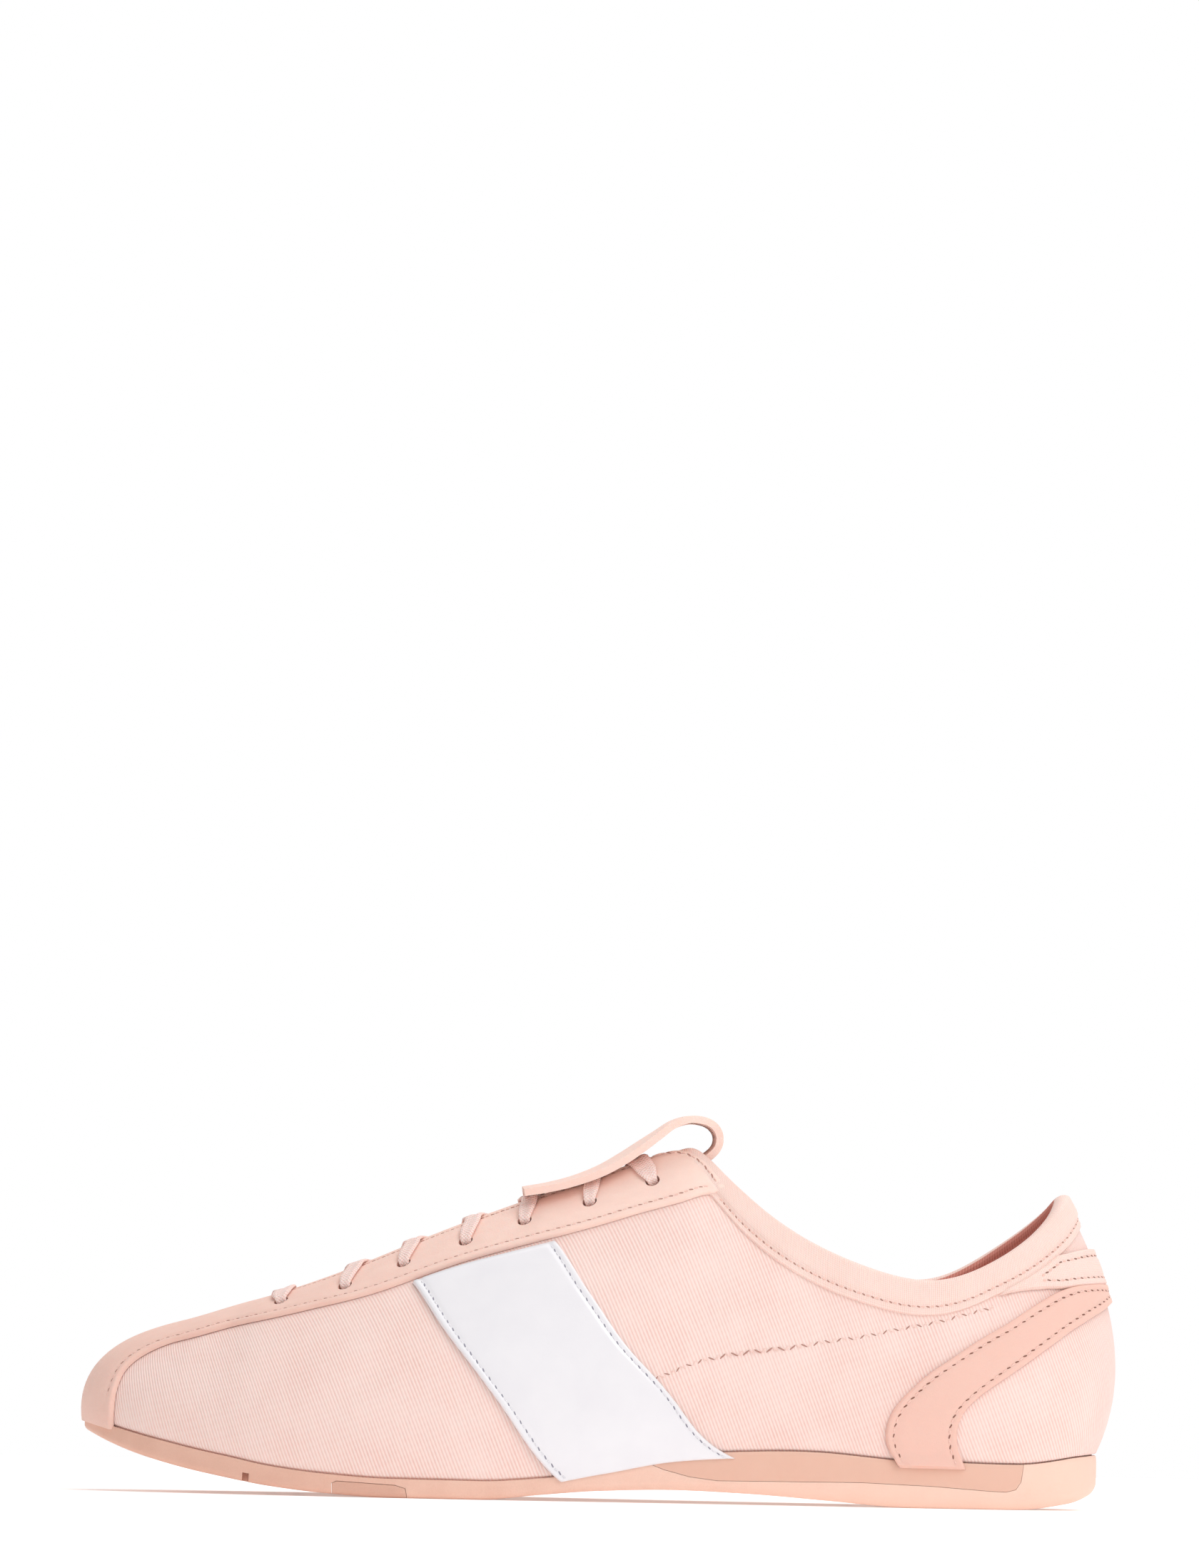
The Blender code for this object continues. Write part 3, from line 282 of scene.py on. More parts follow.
def loop_slopes(values: Array) -> Array:
    """Slopes of the closed curve with even curvature through equally spaced values.

    Args:
        values: one value a rib, once round the shoe.

    Returns:
        One slope a rib, from the usual system 1, 4, 1 of a closed spline.
    """
    n = len(values)
    rows = np.eye(n) * 4 + np.roll(np.eye(n), 1, 0) + np.roll(np.eye(n), -1, 0)
    return np.linalg.solve(rows, 3 * (np.roll(values, -1) - np.roll(values, 1)))


def limited_slopes(values: Array, knots: Array, closed: bool) -> Array:
    """Slopes that never overshoot: the harmonic mean of the rises before and after each value.

    Args:
        values: the values.
        knots: their places.
        closed: whether the last joins the first.

    Returns:
        One slope a value.
    """
    rises = np.diff(np.append(values, values[0]) if closed else values) / np.diff(knots)
    before, after = (np.roll(rises, 1), rises) if closed else (rises[:-1], rises[1:])
    total = before + after
    inner = np.where(before * after > 0, 2 * before * after / np.where(total == 0, 1, total), 0)
    return inner if closed else np.concatenate([rises[:1], inner, rises[-1:]])


def hermite(values: Array, slopes: Array, step: Array, index: Array, share: Array) -> Array:
    """Cubic between neighbours of a list, from their values and slopes.

    Args:
        values: the list.
        slopes: its slopes.
        step: distance between the neighbours.
        index: the first neighbour.
        share: share of the way to the second.

    Returns:
        The values there.
    """
    a, b, p, q = values[index], values[index + 1], slopes[index] * step, slopes[index + 1] * step
    rest = 1 - share
    first = a * (1 + 2 * share) * rest**2 + p * share * rest**2
    return first + b * share**2 * (3 - 2 * share) - q * share**2 * rest


def bezier(a: Array, b: Array, c: Array, d: Array, f: Array) -> Array:
    """Points at shares f of the cubic Bezier curve with four control points."""
    return a * (1 - f) ** 3 + 3 * b * f * (1 - f) ** 2 + 3 * c * f * f * (1 - f) + d * f**3


def flowing(points: Sequence, count: int) -> Array:
    """Points evenly spaced on a smooth curve through the given ones.

    Args:
        points: rows of coordinates.
        count: how many points to give back.

    Returns:
        An array of count rows.
    """
    points = np.asarray(points, float)
    ends = np.vstack([2 * points[0] - points[1], points, 2 * points[-1] - points[-2]])
    slopes = (ends[2:] - ends[:-2]) / 2
    fine = np.linspace(0, len(points) - 1, 40 * len(points))
    i = np.minimum(fine.astype(int), len(points) - 2)
    curve = hermite(points, slopes, 1.0, i, (fine - i)[:, None])
    return resampled(curve, np.linspace(0, 1, count))


def resampled(curve: Array, shares: Array) -> Array:
    """Points of a polyline at shares of its length.

    Args:
        curve: rows of coordinates.
        shares: shares of the length, 0 to 1.

    Returns:
        One row a share.
    """
    run = lengths(curve)
    at = shares * run[-1]
    return np.stack([np.interp(at, run, curve[:, k]) for k in range(curve.shape[1])], -1)


def lengths(points: Array) -> Array:
    """Length along a polyline up to each of its points."""
    return np.concatenate([[0.0], np.cumsum(np.linalg.norm(np.diff(points, axis=0), axis=1))])


def grid_lengths(grid: Array, axis: int = 1) -> Array:
    """Length along each row of a grid of points, or along each column, up to each point."""
    steps = np.diff(grid, axis=axis, prepend=grid.take([0], axis))
    return np.cumsum(np.linalg.norm(steps, axis=2), axis=axis)


def unit(vectors: Array) -> Array:
    """Vectors at a length of one."""
    return vectors / np.linalg.norm(vectors, axis=-1, keepdims=True)


def circle(count: int) -> Array:
    """Angles of an even number of points round a circle."""
    return np.arange(count) * pi / (count // 2)


def eased(x: Array, low: float, high: float) -> Array:
    """Smooth step from 0 at low to 1 at high."""
    t = np.clip((x - low) / (high - low), 0, 1)
    return t * t * (3 - 2 * t)


def turned(w: Array, side: int) -> Array:
    """The place w, counted from the toe, as a place round the shoe on the outer (-1) or inner (1) side."""
    return w if side < 0 else ROUND - w


def round_places(line: Array, count: int, kept: tuple = ()) -> Array:
    """Places round the shoe, evenly spaced along a line over its side and the same on both sides.

    Args:
        line: points at equally spaced places from the toe to the heel.
        count: number of places on each side.
        kept: places that are hit exactly.

    Returns:
        Places from the toe on the outer side round to the toe.
    """
    run = lengths(line)
    half = np.interp(np.linspace(0, run[-1], count), run, np.linspace(0, HEEL, len(line)))
    for place in (0, *kept, HEEL):
        half[np.argmin(np.abs(half - place))] = place
    return np.concatenate([half, ROUND - half[-2:0:-1]])


def crowded(count: int) -> Array:
    """Shares from 0 to 1 that crowd towards both ends, as half a cosine wave does."""
    return 0.5 - 0.5 * np.cos(np.linspace(0, pi, count))


class Last:
    """The shoe's form: a hull of Bezier ribs from the feather edge up to the ridge, throat or collar."""

    def __init__(self) -> None:
        """Works out the columns once round the shoe, and their slopes."""
        ring = np.concatenate([RIBS, RIBS[-2:0:-1]]) * RIB_UNITS
        sign = np.concatenate([-np.ones(HEEL + 1), np.ones(HEEL - 1)])
        self.columns = {name: ring[:, k] for k, name in enumerate(RIB_COLUMNS)}
        for name in ("half", "top_half"):
            self.columns[name] = self.columns[name] * sign
        for rib, outer, inner in RIM_LIFT:
            self.columns["top_z"][rib] += outer
            self.columns["top_z"][ROUND - rib] += inner if rib < HEEL else 0.0
        self.slopes = {name: loop_slopes(values) for name, values in self.columns.items()}
        knots = np.arange(ROUND + 1.0)
        self.slopes["top_half"] = limited_slopes(self.columns["top_half"], knots, True)

    def along(self, name: str, w: Array) -> Array:
        """One column at places w round the shoe.

        Args:
            name: the column.
            w: places, 0 at the toe, HEEL at the heel, back to ROUND at the toe.

        Returns:
            The values there.
        """
        w = np.mod(w, ROUND)
        i = np.minimum(w.astype(int), ROUND - 1)
        values, slopes = (np.append(a, a[0]) for a in (self.columns[name], self.slopes[name]))
        return hermite(values, slopes, 1.0, i, w - i)

    def edge_y(self, w: Array) -> Array:
        """Sideways place of the feather edge."""
        return self.along("spine", w) + self.along("half", w)

    def outward(self, w: Array) -> Array:
        """Level unit directions, square to the feather edge and away from the shoe."""
        small = 1e-3
        dx = self.along("x", w + small) - self.along("x", w - small)
        dy = self.edge_y(w + small) - self.edge_y(w - small)
        size = np.hypot(dx, dy)
        return np.stack([dy / size, -dx / size, np.zeros_like(size)], -1)

    def surface(self, w: Array, v: Array) -> Array:
        """Points of the last: the cubic Bezier of four control points at each place.

        Args:
            w: places round the shoe.
            v: shares of the way up the rib.

        Returns:
            Points, measured from the toe tip.
        """
        w, v = np.broadcast_arrays(np.asarray(w, float), np.asarray(v, float))
        at, f = w.ravel(), v.ravel()[:, None]
        away, up = self.outward(at), np.array([0.0, 0.0, 1.0])
        foot = np.stack([self.along("x", at), self.edge_y(at), sole_top(self.along("x", at)) - SINK], -1)
        side = self.along("spine", at) + self.along("top_half", at)
        head = np.stack([self.along("top_x", at), side, self.along("top_z", at)], -1)
        bulge = foot + away * self.along("flare", at)[:, None] + up * self.along("rise", at)[:, None]
        shoulder = head + away * self.along("shoulder_out", at)[:, None]
        shoulder += up * self.along("shoulder_z", at)[:, None]
        return bezier(foot, bulge, shoulder, head, f).reshape(*w.shape, 3)

    def normal(self, w: Array, v: Array) -> Array:
        """Unit directions square to the last, from the cross product of its two tangents."""
        small = 2e-3
        across = self.surface(w + small, v) - self.surface(w - small, v)
        rising = self.surface(w, v + small) - self.surface(w, v - small)
        return unit(np.cross(across, rising))

    def at(self, places: Array, side: int) -> tuple[Array, Array]:
        """Points and directions at places (w, v) that are counted from the toe on one side."""
        w, v = turned(places[..., 0], side), places[..., 1]
        return self.surface(w, v), self.normal(w, v)

    def skin(self, w: Array, v: Array, lift: Array) -> Array:
        """Points at a height lift above the last, measured square to it."""
        w, v = np.broadcast_arrays(np.asarray(w, float), np.asarray(v, float))
        return self.surface(w, v) + self.normal(w, v) * np.asarray(lift)[..., None]

    def below_edge(self, w: Array, distance: Array) -> Array:
        """Shares v up each rib that lie a distance below its top edge, along the surface.

        Args:
            w: places round the shoe, one a rib.
            distance: one distance a rib.

        Returns:
            One share a rib.
        """
        w, distance = np.broadcast_arrays(np.asarray(w, float), np.asarray(distance, float))
        steps = np.linspace(1, 0, 61)
        points = self.surface(w[:, None], steps[None, :])
        run = np.cumsum(np.linalg.norm(np.diff(points, axis=1), axis=2), axis=1)
        run = np.concatenate([np.zeros((len(w), 1)), run], 1)
        i = np.clip(np.sum(run <= distance[:, None], axis=1) - 1, 0, 59)
        row = np.arange(len(w))
        share = (distance - run[row, i]) / (run[row, i + 1] - run[row, i])
        return np.clip(steps[i] + (steps[i + 1] - steps[i]) * share, 0, 1)

    def reach_down(self, place: Array, side: int) -> float:
        """Distance along the surface from the top edge down to a place on one side."""
        points = self.surface(np.full(40, turned(place[0], side)), np.linspace(1, place[1], 40))
        return float(lengths(points)[-1])

    def located(self, outline: Array, side: int) -> Array:
        """Places (w, v) of points given from the side, found by Newton steps from the nearest grid point.

        Args:
            outline: rows of x, a share of LENGTH, and z, a share of INSTEP_HEIGHT.
            side: -1 for the outer side, 1 for the inner one.

        Returns:
            Rows of w and v.
        """
        target = outline * (LENGTH, INSTEP_HEIGHT)
        all_w, all_v = np.linspace(0.02, HEEL - 0.02, 240), np.linspace(0, 1, 81)
        grid_w, grid_v = np.meshgrid(all_w, all_v, indexing="ij")
        seen = self.surface(turned(grid_w, side), grid_v)[..., [0, 2]].reshape(-1, 2)
        nearest = np.argmin(np.sum((seen[None] - target[:, None]) ** 2, axis=2), axis=1)
        w, v = grid_w.ravel()[nearest], grid_v.ravel()[nearest]
        small = 1e-3
        for _ in range(12):
            here = self.surface(turned(w, side), v)[:, [0, 2]]
            by_w = (self.surface(turned(w + small, side), v)[:, [0, 2]] - here) / small
            by_v = (self.surface(turned(w, side), v + small)[:, [0, 2]] - here) / small
            turn = by_w[:, 0] * by_v[:, 1] - by_w[:, 1] * by_v[:, 0]
            turn = np.where(np.abs(turn) < 1e-9, 1e-9, turn)
            off = target - here
            more_w = (off[:, 0] * by_v[:, 1] - off[:, 1] * by_v[:, 0]) / turn
            more_v = (by_w[:, 0] * off[:, 1] - by_w[:, 1] * off[:, 0]) / turn
            w = np.clip(w + np.clip(more_w, -0.2, 0.2), 0, HEEL)
            v = np.clip(v + np.clip(more_v, -0.1, 0.1), 0, 1)
        return np.stack([w, v], -1)


def sole_profile(column: int, scale: float, x: Array) -> Array:
    """A column of SOLE_ROWS at distances x from the toe tip, level where its rows are level."""
    knots, values = SOLE_ROWS[:, 0] * LENGTH, SOLE_ROWS[:, column] * scale
    x = np.clip(x, knots[0], knots[-1])
    i = np.clip(np.searchsorted(knots, x, "right") - 1, 0, len(knots) - 2)
    step = knots[i + 1] - knots[i]
    return hermite(values, limited_slopes(values, knots, False), step, i, (x - knots[i]) / step)


def sole_bottom(x: Array) -> Array:
    """Height of the sole's underside."""
    return sole_profile(1, TOE_SPRING, x)


def sole_top(x: Array) -> Array:
    """Height of the sole's upper edge."""
    return sole_bottom(x) + sole_profile(2, HEEL_STACK, x)


def linear(shade: str) -> tuple[float, float, float, float]:
    """An sRGB hex value as linear red, green, blue and alpha."""
    parts = [int(shade[i : i + 2], 16) / 255 for i in (1, 3, 5)]
    return (*[c / 12.92 if c <= 0.04045 else ((c + 0.055) / 1.055) ** 2.4 for c in parts], 1.0)


def add(tree: bpy.types.NodeTree, kind: str, settings: Optional[dict] = None, inputs: Optional[dict] = None):
    """Adds a node, sets its settings, and sets or links its inputs.

    Args:
        tree: the material's node tree.
        kind: the node's class name.
        settings: attribute names to values.
        inputs: socket names or numbers to values, or to the sockets that feed them.

    Returns:
        The node.
    """
    node = tree.nodes.new(kind)
    for name, value in (settings or {}).items():
        setattr(node, name, value)
    for name, value in (inputs or {}).items():
        if isinstance(value, bpy.types.NodeSocket):
            tree.links.new(value, node.inputs[name])
        else:
            node.inputs[name].default_value = value
    return node


def plain_material(name: str, settings: dict) -> bpy.types.Material:
    """A new material with some of its shader's sockets set."""
    material = bpy.data.materials.new(name)
    material.use_nodes = True
    for socket, value in settings.items():
        material.node_tree.nodes["Principled BSDF"].inputs[socket].default_value = value
    return material


class Pattern(Enum):
    """How a surface was made."""

    RIBBED = "diagonal ribbed knit"
    KNITTED = "smooth fine knit"
    WOVEN = "flat woven braid"
    NAPPED = "brushed nap"
    COATED = "pressed grain under a glossy coat"
    GRAINED = "moulded with a fine grain"
    FOAMED = "moulded smooth foam"
    TWISTED = "spun thread"


@dataclass(frozen=True)
class Finish:
    """One real material and the look that its making gives it.

    Attributes:
        name: the real material.
        pattern: how its surface was made.
        shade: its colour.
        deep: its colour in the darker patches, and painted shade in the hollows between threads and towards
            the toe.
        pitch: size of its pattern in millimetres.
        relief: height of its pattern in millimetres.
        rough: roughness.
        sheen: strength of the soft edge glow of fibres.
        coat: strength of a clear coat.
        scatter: share of light that travels on inside the material.
    """

    name: str
    pattern: Pattern
    shade: str
    deep: str
    pitch: float
    relief: float
    rough: float
    sheen: float = 0.0
    coat: float = 0.0
    scatter: float = 0.0

    def build(self) -> bpy.types.Material:
        """Makes the material, or gives back the one already made."""
        found = bpy.data.materials.get(self.name)
        if found:
            return found
        material = plain_material(self.name, {
            "Roughness": self.rough, "Coat Weight": self.coat, "Coat Roughness": COAT_ROUGHNESS,
            "Sheen Weight": self.sheen, "Sheen Roughness": SHEEN_ROUGHNESS, "Sheen Tint": linear(self.shade),
            "Subsurface Weight": self.scatter, "Subsurface Radius": SCATTER_RADIUS,
            "Subsurface Scale": SCATTER_DEPTH})
        tree = material.node_tree
        shader = tree.nodes["Principled BSDF"]
        height, tone = self.relief_and_tone(tree)
        colours = {0: tone, 6: linear(self.deep), 7: linear(self.shade)}
        mix = add(tree, "ShaderNodeMix", {"data_type": "RGBA"}, colours)
        tree.links.new(mix.outputs[2], shader.inputs["Base Color"])
        relief = {"Strength": 1.0, "Distance": self.relief * MM, "Height": height}
        bump = add(tree, "ShaderNodeBump", None, relief)
        tree.links.new(bump.outputs[0], shader.inputs["Normal"])
        return material

    def relief_and_tone(self, tree: bpy.types.NodeTree) -> tuple:
        """The sockets that give the pattern's height and its tone, 0 deep and 1 full colour."""
        if self.pattern in (Pattern.RIBBED, Pattern.KNITTED, Pattern.WOVEN, Pattern.TWISTED):
            return self.threads(tree)
        place = add(tree, "ShaderNodeTexCoord").outputs["Object"]
        fine = self.noise(tree, place, self.pitch, 3.0)
        broad = self.noise(tree, place, PATCH, 2.0)
        if self.pattern is Pattern.COATED:
            cells = add(tree, "ShaderNodeTexVoronoi", {"feature": "DISTANCE_TO_EDGE"},
                        {"Vector": place, "Scale": 1 / (self.pitch * MM)}).outputs["Distance"]
            height = self.sum(tree, self.math(tree, "MINIMUM", cells, 0.25), fine, 0.4)
            return height, self.ranged(tree, broad, 0.1, 0.9)
        if self.pattern is Pattern.NAPPED:
            stroked = add(tree, "ShaderNodeMapping", None, {"Vector": place, "Scale": NAP_STRETCH}).outputs[0]
            streak = self.noise(tree, stroked, STREAK, 3.0)
            mixed = self.mixed(tree, streak, 0.6, broad, 0.4)
            tone = self.mixed(tree, mixed, 0.7, fine, 0.3)
            return self.sum(tree, fine, streak, 0.8), self.lit_towards_heel(tree, place, tone)
        return fine, self.lit_towards_heel(tree, place, self.mixed(tree, broad, 0.6, fine, 0.4))

    def lit_towards_heel(self, tree: bpy.types.NodeTree, place, tone):
        """The socket of a tone with painted light and shade: darker towards the toe, lighter towards the
        heel.
        """
        along = add(tree, "ShaderNodeSeparateXYZ", None, {0: place}).outputs[0]
        # Painted light: the tone climbs from the toe to the heel, the side that the key lamp lights.
        heel_light = self.ranged(tree, along, -0.15, 0.14)
        return self.ranged(tree, self.mixed(tree, tone, 0.55, heel_light, 0.65), 0.0, 1.0)

    def mixed(self, tree: bpy.types.NodeTree, a, first: float, b, second: float):
        """The socket of a share of a plus a share of b."""
        return self.sum(tree, self.math(tree, "MULTIPLY", a, first), b, second)

    def threads(self, tree: bpy.types.NodeTree) -> tuple:
        """Threads that follow the piece's own map, laid out in millimetres: sines across their run.

        A rib or a yarn is a sine across its direction. A second sine, or noise stretched along the
        yarn, breaks it into stitches.
        """
        place = add(tree, "ShaderNodeUVMap").outputs[0]
        slope = {Pattern.RIBBED: (0.927, 0.375), Pattern.KNITTED: (1.0, 0.0), Pattern.WOVEN: (0.5, 0.866),
                 Pattern.TWISTED: (0.6, 0.8)}[self.pattern]
        across = self.dot(tree, place, (slope[0], slope[1], 0))
        run = self.dot(tree, place, (-slope[1], slope[0], 0))
        first = self.wave(tree, across, self.pitch)
        if self.pattern is Pattern.RIBBED:
            second, share = self.wave(tree, run, self.pitch * 2.2), 0.1
        elif self.pattern is Pattern.WOVEN:
            mirrored = self.dot(tree, place, (-slope[0], slope[1], 0))
            second, share = self.wave(tree, mirrored, self.pitch), 0.9
        else:
            second, share = self.wave(tree, run, self.pitch), 0.5
        stretched = add(tree, "ShaderNodeCombineXYZ", None, {
            0: self.math(tree, "MULTIPLY", across, 1 / (0.8 * self.pitch)),
            1: self.math(tree, "MULTIPLY", run, 1 / (7 * self.pitch))}).outputs[0]
        cloudy = {"Vector": stretched, "Scale": 1.0, "Detail": 2.0}
        fuzz = add(tree, "ShaderNodeTexNoise", None, cloudy).outputs[0]
        height = self.sum(tree, self.sum(tree, first, second, share), fuzz, 1.1)
        broad = self.noise(tree, add(tree, "ShaderNodeTexCoord").outputs["Object"], CLOTH_PATCH, 2.0)
        # The tone follows the height, so the hollows between threads take painted shade; the broad noise
        # gives real patches.
        return height, self.ranged(tree, self.mixed(tree, height, 0.36, broad, 0.7), -0.25, 0.85)

    def math(self, tree: bpy.types.NodeTree, operation: str, a, b):
        """The socket of one sum on two values or sockets."""
        return add(tree, "ShaderNodeMath", {"operation": operation}, {0: a, 1: b}).outputs[0]

    def sum(self, tree: bpy.types.NodeTree, a, b, share: float):
        """The socket of a plus share times b."""
        return add(tree, "ShaderNodeMath", {"operation": "MULTIPLY_ADD"}, {0: b, 1: share, 2: a}).outputs[0]

    def dot(self, tree: bpy.types.NodeTree, place, way: tuple):
        """The socket of the distance of a place along a direction."""
        node = add(tree, "ShaderNodeVectorMath", {"operation": "DOT_PRODUCT"}, {0: place, 1: way})
        return node.outputs["Value"]

    def wave(self, tree: bpy.types.NodeTree, distance, pitch: float):
        """The socket of a sine wave of a pitch in millimetres along a distance in millimetres."""
        turns = self.math(tree, "MULTIPLY", distance, 2 * pi / pitch)
        return add(tree, "ShaderNodeMath", {"operation": "SINE"}, {0: turns}).outputs[0]

    def noise(self, tree: bpy.types.NodeTree, place, size: float, detail: float):
        """The socket of cloudy noise whose lumps are a size in millimetres, at a place in metres."""
        settings = {"Vector": place, "Scale": 1 / (size * MM), "Detail": detail, "Roughness": 0.55}
        return add(tree, "ShaderNodeTexNoise", None, settings).outputs[0]

    def ranged(self, tree: bpy.types.NodeTree, value, low: float, high: float):
        """The socket of a value spread smoothly from 0 at low to 1 at high."""
        settings = {"interpolation_type": "SMOOTHSTEP"}
        return add(tree, "ShaderNodeMapRange", settings, {0: value, 1: low, 2: high}).outputs[0]


# Polyester and elastane rib: matt, with a soft glow at grazing angles, and fine slanted ribs.
UPPER_CLOTH = Finish("stretch_rib_fabric", Pattern.RIBBED, "#f9dfd7", "#ecc0b5", 0.86, 0.05, 0.72,
                     sheen=0.2, scatter=0.1)
# Brushed lining behind it, darker because little light gets in.
LINING_CLOTH = Finish("brushed_lining_fabric", Pattern.KNITTED, "#dd9486", "#c67a6b", 0.9, 0.04,
                      0.85, scatter=0.15)
# Split suede: fibres scatter the light, so it is matt and faintly patchy where it was stroked.
STRIP_SUEDE = Finish("pink_suede", Pattern.NAPPED, "#fddfd3", "#eac0b2", 0.35, 0.09, 0.92,
                     sheen=0.2, scatter=0.15)
STRAP_SUEDE = Finish("pale_suede", Pattern.NAPPED, "#eec4b6", "#e2b0a0", 0.35, 0.09, 0.92,
                     sheen=0.2, scatter=0.15)
# Coated leather: pressed grain under a clear coat, so it takes soft highlights.
WHITE_LEATHER = Finish("coated_white_leather", Pattern.COATED, "#eeecef", "#e9e7eb", 1.1, 0.02,
                       0.34, coat=0.35)
# Smooth stretch jersey of the collar and the heel tab: finer than the eye resolves.
JERSEY = Finish("fine_stretch_jersey", Pattern.KNITTED, "#f9ddd3", "#efc7bb", 0.5, 0.03, 0.75,
                sheen=0.2, scatter=0.12)
# Vulcanised rubber with a fine mould grain, with painted shade at the toe and painted light at the heel.
SOLE_RUBBER = Finish("moulded_rubber", Pattern.GRAINED, "#f8d2c0", "#daa994", 0.4, 0.06, 0.62,
                     scatter=0.1)
TREAD_RUBBER = Finish("tread_rubber", Pattern.GRAINED, "#ecc0ac", "#cf9f8b", 0.4, 0.06, 0.6, scatter=0.1)
# Foam skin, smooth from its mould.
WEDGE_FOAM = Finish("moulded_foam", Pattern.FOAMED, "#e6bba7", "#daa893", 1.6, 0.015, 0.5, scatter=0.1)
# Cotton lace, a flat braid of 0.7 mm yarns.
LACE_COTTON = Finish("flat_cotton_braid", Pattern.WOVEN, "#fde3dc", "#f3c8bd", 0.7, 0.05, 0.85,
                     sheen=0.2, scatter=0.15)
LINER_CLOTH = Finish("sock_liner_fabric", Pattern.KNITTED, "#eebdaf", "#d99f90", 0.9, 0.04, 0.88)
# Polyester thread, and painted shade: a dark copy of the same thread where it goes down into its needle holes
# and sees no light.
PINK_THREAD = Finish("pink_polyester_thread", Pattern.TWISTED, "#f6cfc2", "#eabbad", 0.6, 0.02, 0.55)
PINK_HOLE_SHADE = Finish("painted_shade_in_pink_needle_holes", Pattern.TWISTED, "#93685a", "#774f42", 0.6,
                    0.02, 0.8)
SEAM_THREAD = Finish("tonal_polyester_thread", Pattern.TWISTED, "#f8d9cf", "#efc6ba", 0.6, 0.02, 0.6)
SEAM_HOLE_SHADE = Finish("painted_shade_in_tonal_needle_holes", Pattern.TWISTED, "#bd9083", "#a67a6c", 0.6,
                    0.02, 0.8)
WHITE_THREAD = Finish("white_polyester_thread", Pattern.TWISTED, "#eceaee", "#dcdae0", 0.6, 0.02, 0.5)
WHITE_HOLE_SHADE = Finish("painted_shade_in_white_needle_holes", Pattern.TWISTED, "#a09eaa", "#83818e", 0.6,
                     0.02, 0.8)


def quads(rows: int, columns: int, close_rows: bool = False, close_columns: bool = False) -> Array:
    """Faces of a grid of points, row by row, joined round where asked.

    Args:
        rows: number of rows.
        columns: points in a row.
        close_rows: whether the last row joins the first.
        close_columns: whether each row is a ring.

    Returns:
        Rows of four indices.
    """
    index = np.arange(rows * columns).reshape(rows, columns)
    if close_rows:
        index = np.vstack([index, index[:1]])
    if close_columns:
        index = np.hstack([index, index[:, :1]])
    return np.stack([index[:-1, :-1], index[1:, :-1], index[1:, 1:], index[:-1, 1:]], -1).reshape(-1, 4)


def ladder(start: int, count: int) -> Array:
    """Faces across a ring of an even number of points, from the outer side straight to the inner one."""
    i = np.arange(count // 2 - 1)
    return np.stack([i, i + 1, count - i - 2, count - i - 1], -1) + start


def mesh_object(name: str, points: Array, faces: Array, uv: Optional[Array] = None, weld: bool = False):
    """A mesh object in the row's frame from points measured from the toe tip.

    Args:
        name: the piece's name.
        points: any array whose last axis is x, y, z.
        faces: rows of four indices.
        uv: the pattern's map in millimetres, one pair a point.
        weld: whether doubles are merged.

    Returns:
        The object.
    """
    points = points.reshape(-1, 3) - CENTRE
    mesh = bpy.data.meshes.new(name)
    mesh.vertices.add(len(points))
    mesh.vertices.foreach_set("co", points.astype(np.float32).ravel())
    mesh.loops.add(faces.size)
    mesh.loops.foreach_set("vertex_index", faces.astype(np.int32).ravel())
    mesh.polygons.add(len(faces))
    mesh.polygons.foreach_set("loop_start", np.arange(0, faces.size, 4, dtype=np.int32))
    mesh.update(calc_edges=True)
    if uv is not None:
        layer = mesh.uv_layers.new(name="UVMap")
        layer.uv.foreach_set("vector", uv.reshape(-1, 2)[faces.ravel()].astype(np.float32).ravel())
    mesh.validate()
    if weld:
        work = bmesh.new()
        work.from_mesh(mesh)
        bmesh.ops.remove_doubles(work, verts=work.verts, dist=1e-6)
        bmesh.ops.dissolve_degenerate(work, edges=work.edges, dist=1e-7)
        bmesh.ops.recalc_face_normals(work, faces=work.faces)
        work.to_mesh(mesh)
        work.free()
    mesh.shade_smooth()
    return linked(name, mesh)


def linked(name: str, data: bpy.types.ID) -> bpy.types.Object:
    """A new object of a mesh, a lamp or a camera, in the scene."""
    obj = bpy.data.objects.new(name, data)
    bpy.context.scene.collection.objects.link(obj)
    return obj


def solid(name: str, points: Sequence, faces: Sequence[tuple]) -> bpy.types.Object:
    """A closed body to cut with, of points in the row's frame and faces of any number of corners."""
    mesh = bpy.data.meshes.new(name)
    mesh.from_pydata([tuple(point) for point in points], [], faces)
    obj = linked(name, mesh)
    face_round(obj)
    return obj


def face_out(obj: bpy.types.Object, middle: Vector) -> None:
    """Flips an open shell whose faces look towards the middle."""
    mesh = obj.data
    count = len(mesh.polygons)
    centres, normals, areas = np.empty(count * 3), np.empty(count * 3), np.empty(count)
    mesh.polygons.foreach_get("center", centres)
    mesh.polygons.foreach_get("normal", normals)
    mesh.polygons.foreach_get("area", areas)
    away = unit(centres.reshape(-1, 3) - np.array(middle))
    if np.sum(areas * np.sum(away * normals.reshape(-1, 3), axis=1)) < 0:
        mesh.flip_normals()


def face_round(obj: bpy.types.Object) -> None:
    """Points the faces of a closed body outwards."""
    work = bmesh.new()
    work.from_mesh(obj.data)
    bmesh.ops.recalc_face_normals(work, faces=work.faces)
    if work.calc_volume(signed=True) < 0:
        bmesh.ops.reverse_faces(work, faces=work.faces)
    work.to_mesh(obj.data)
    work.free()


def thickened(obj: bpy.types.Object, thickness: float, inner_slot: int = 0) -> None:
    """Gives an open shell a wall inwards from its outer face."""
    wall = obj.modifiers.new("wall", "SOLIDIFY")
    wall.thickness = thickness
    wall.offset = -1
    wall.use_even_offset = False
    wall.material_offset = inner_slot


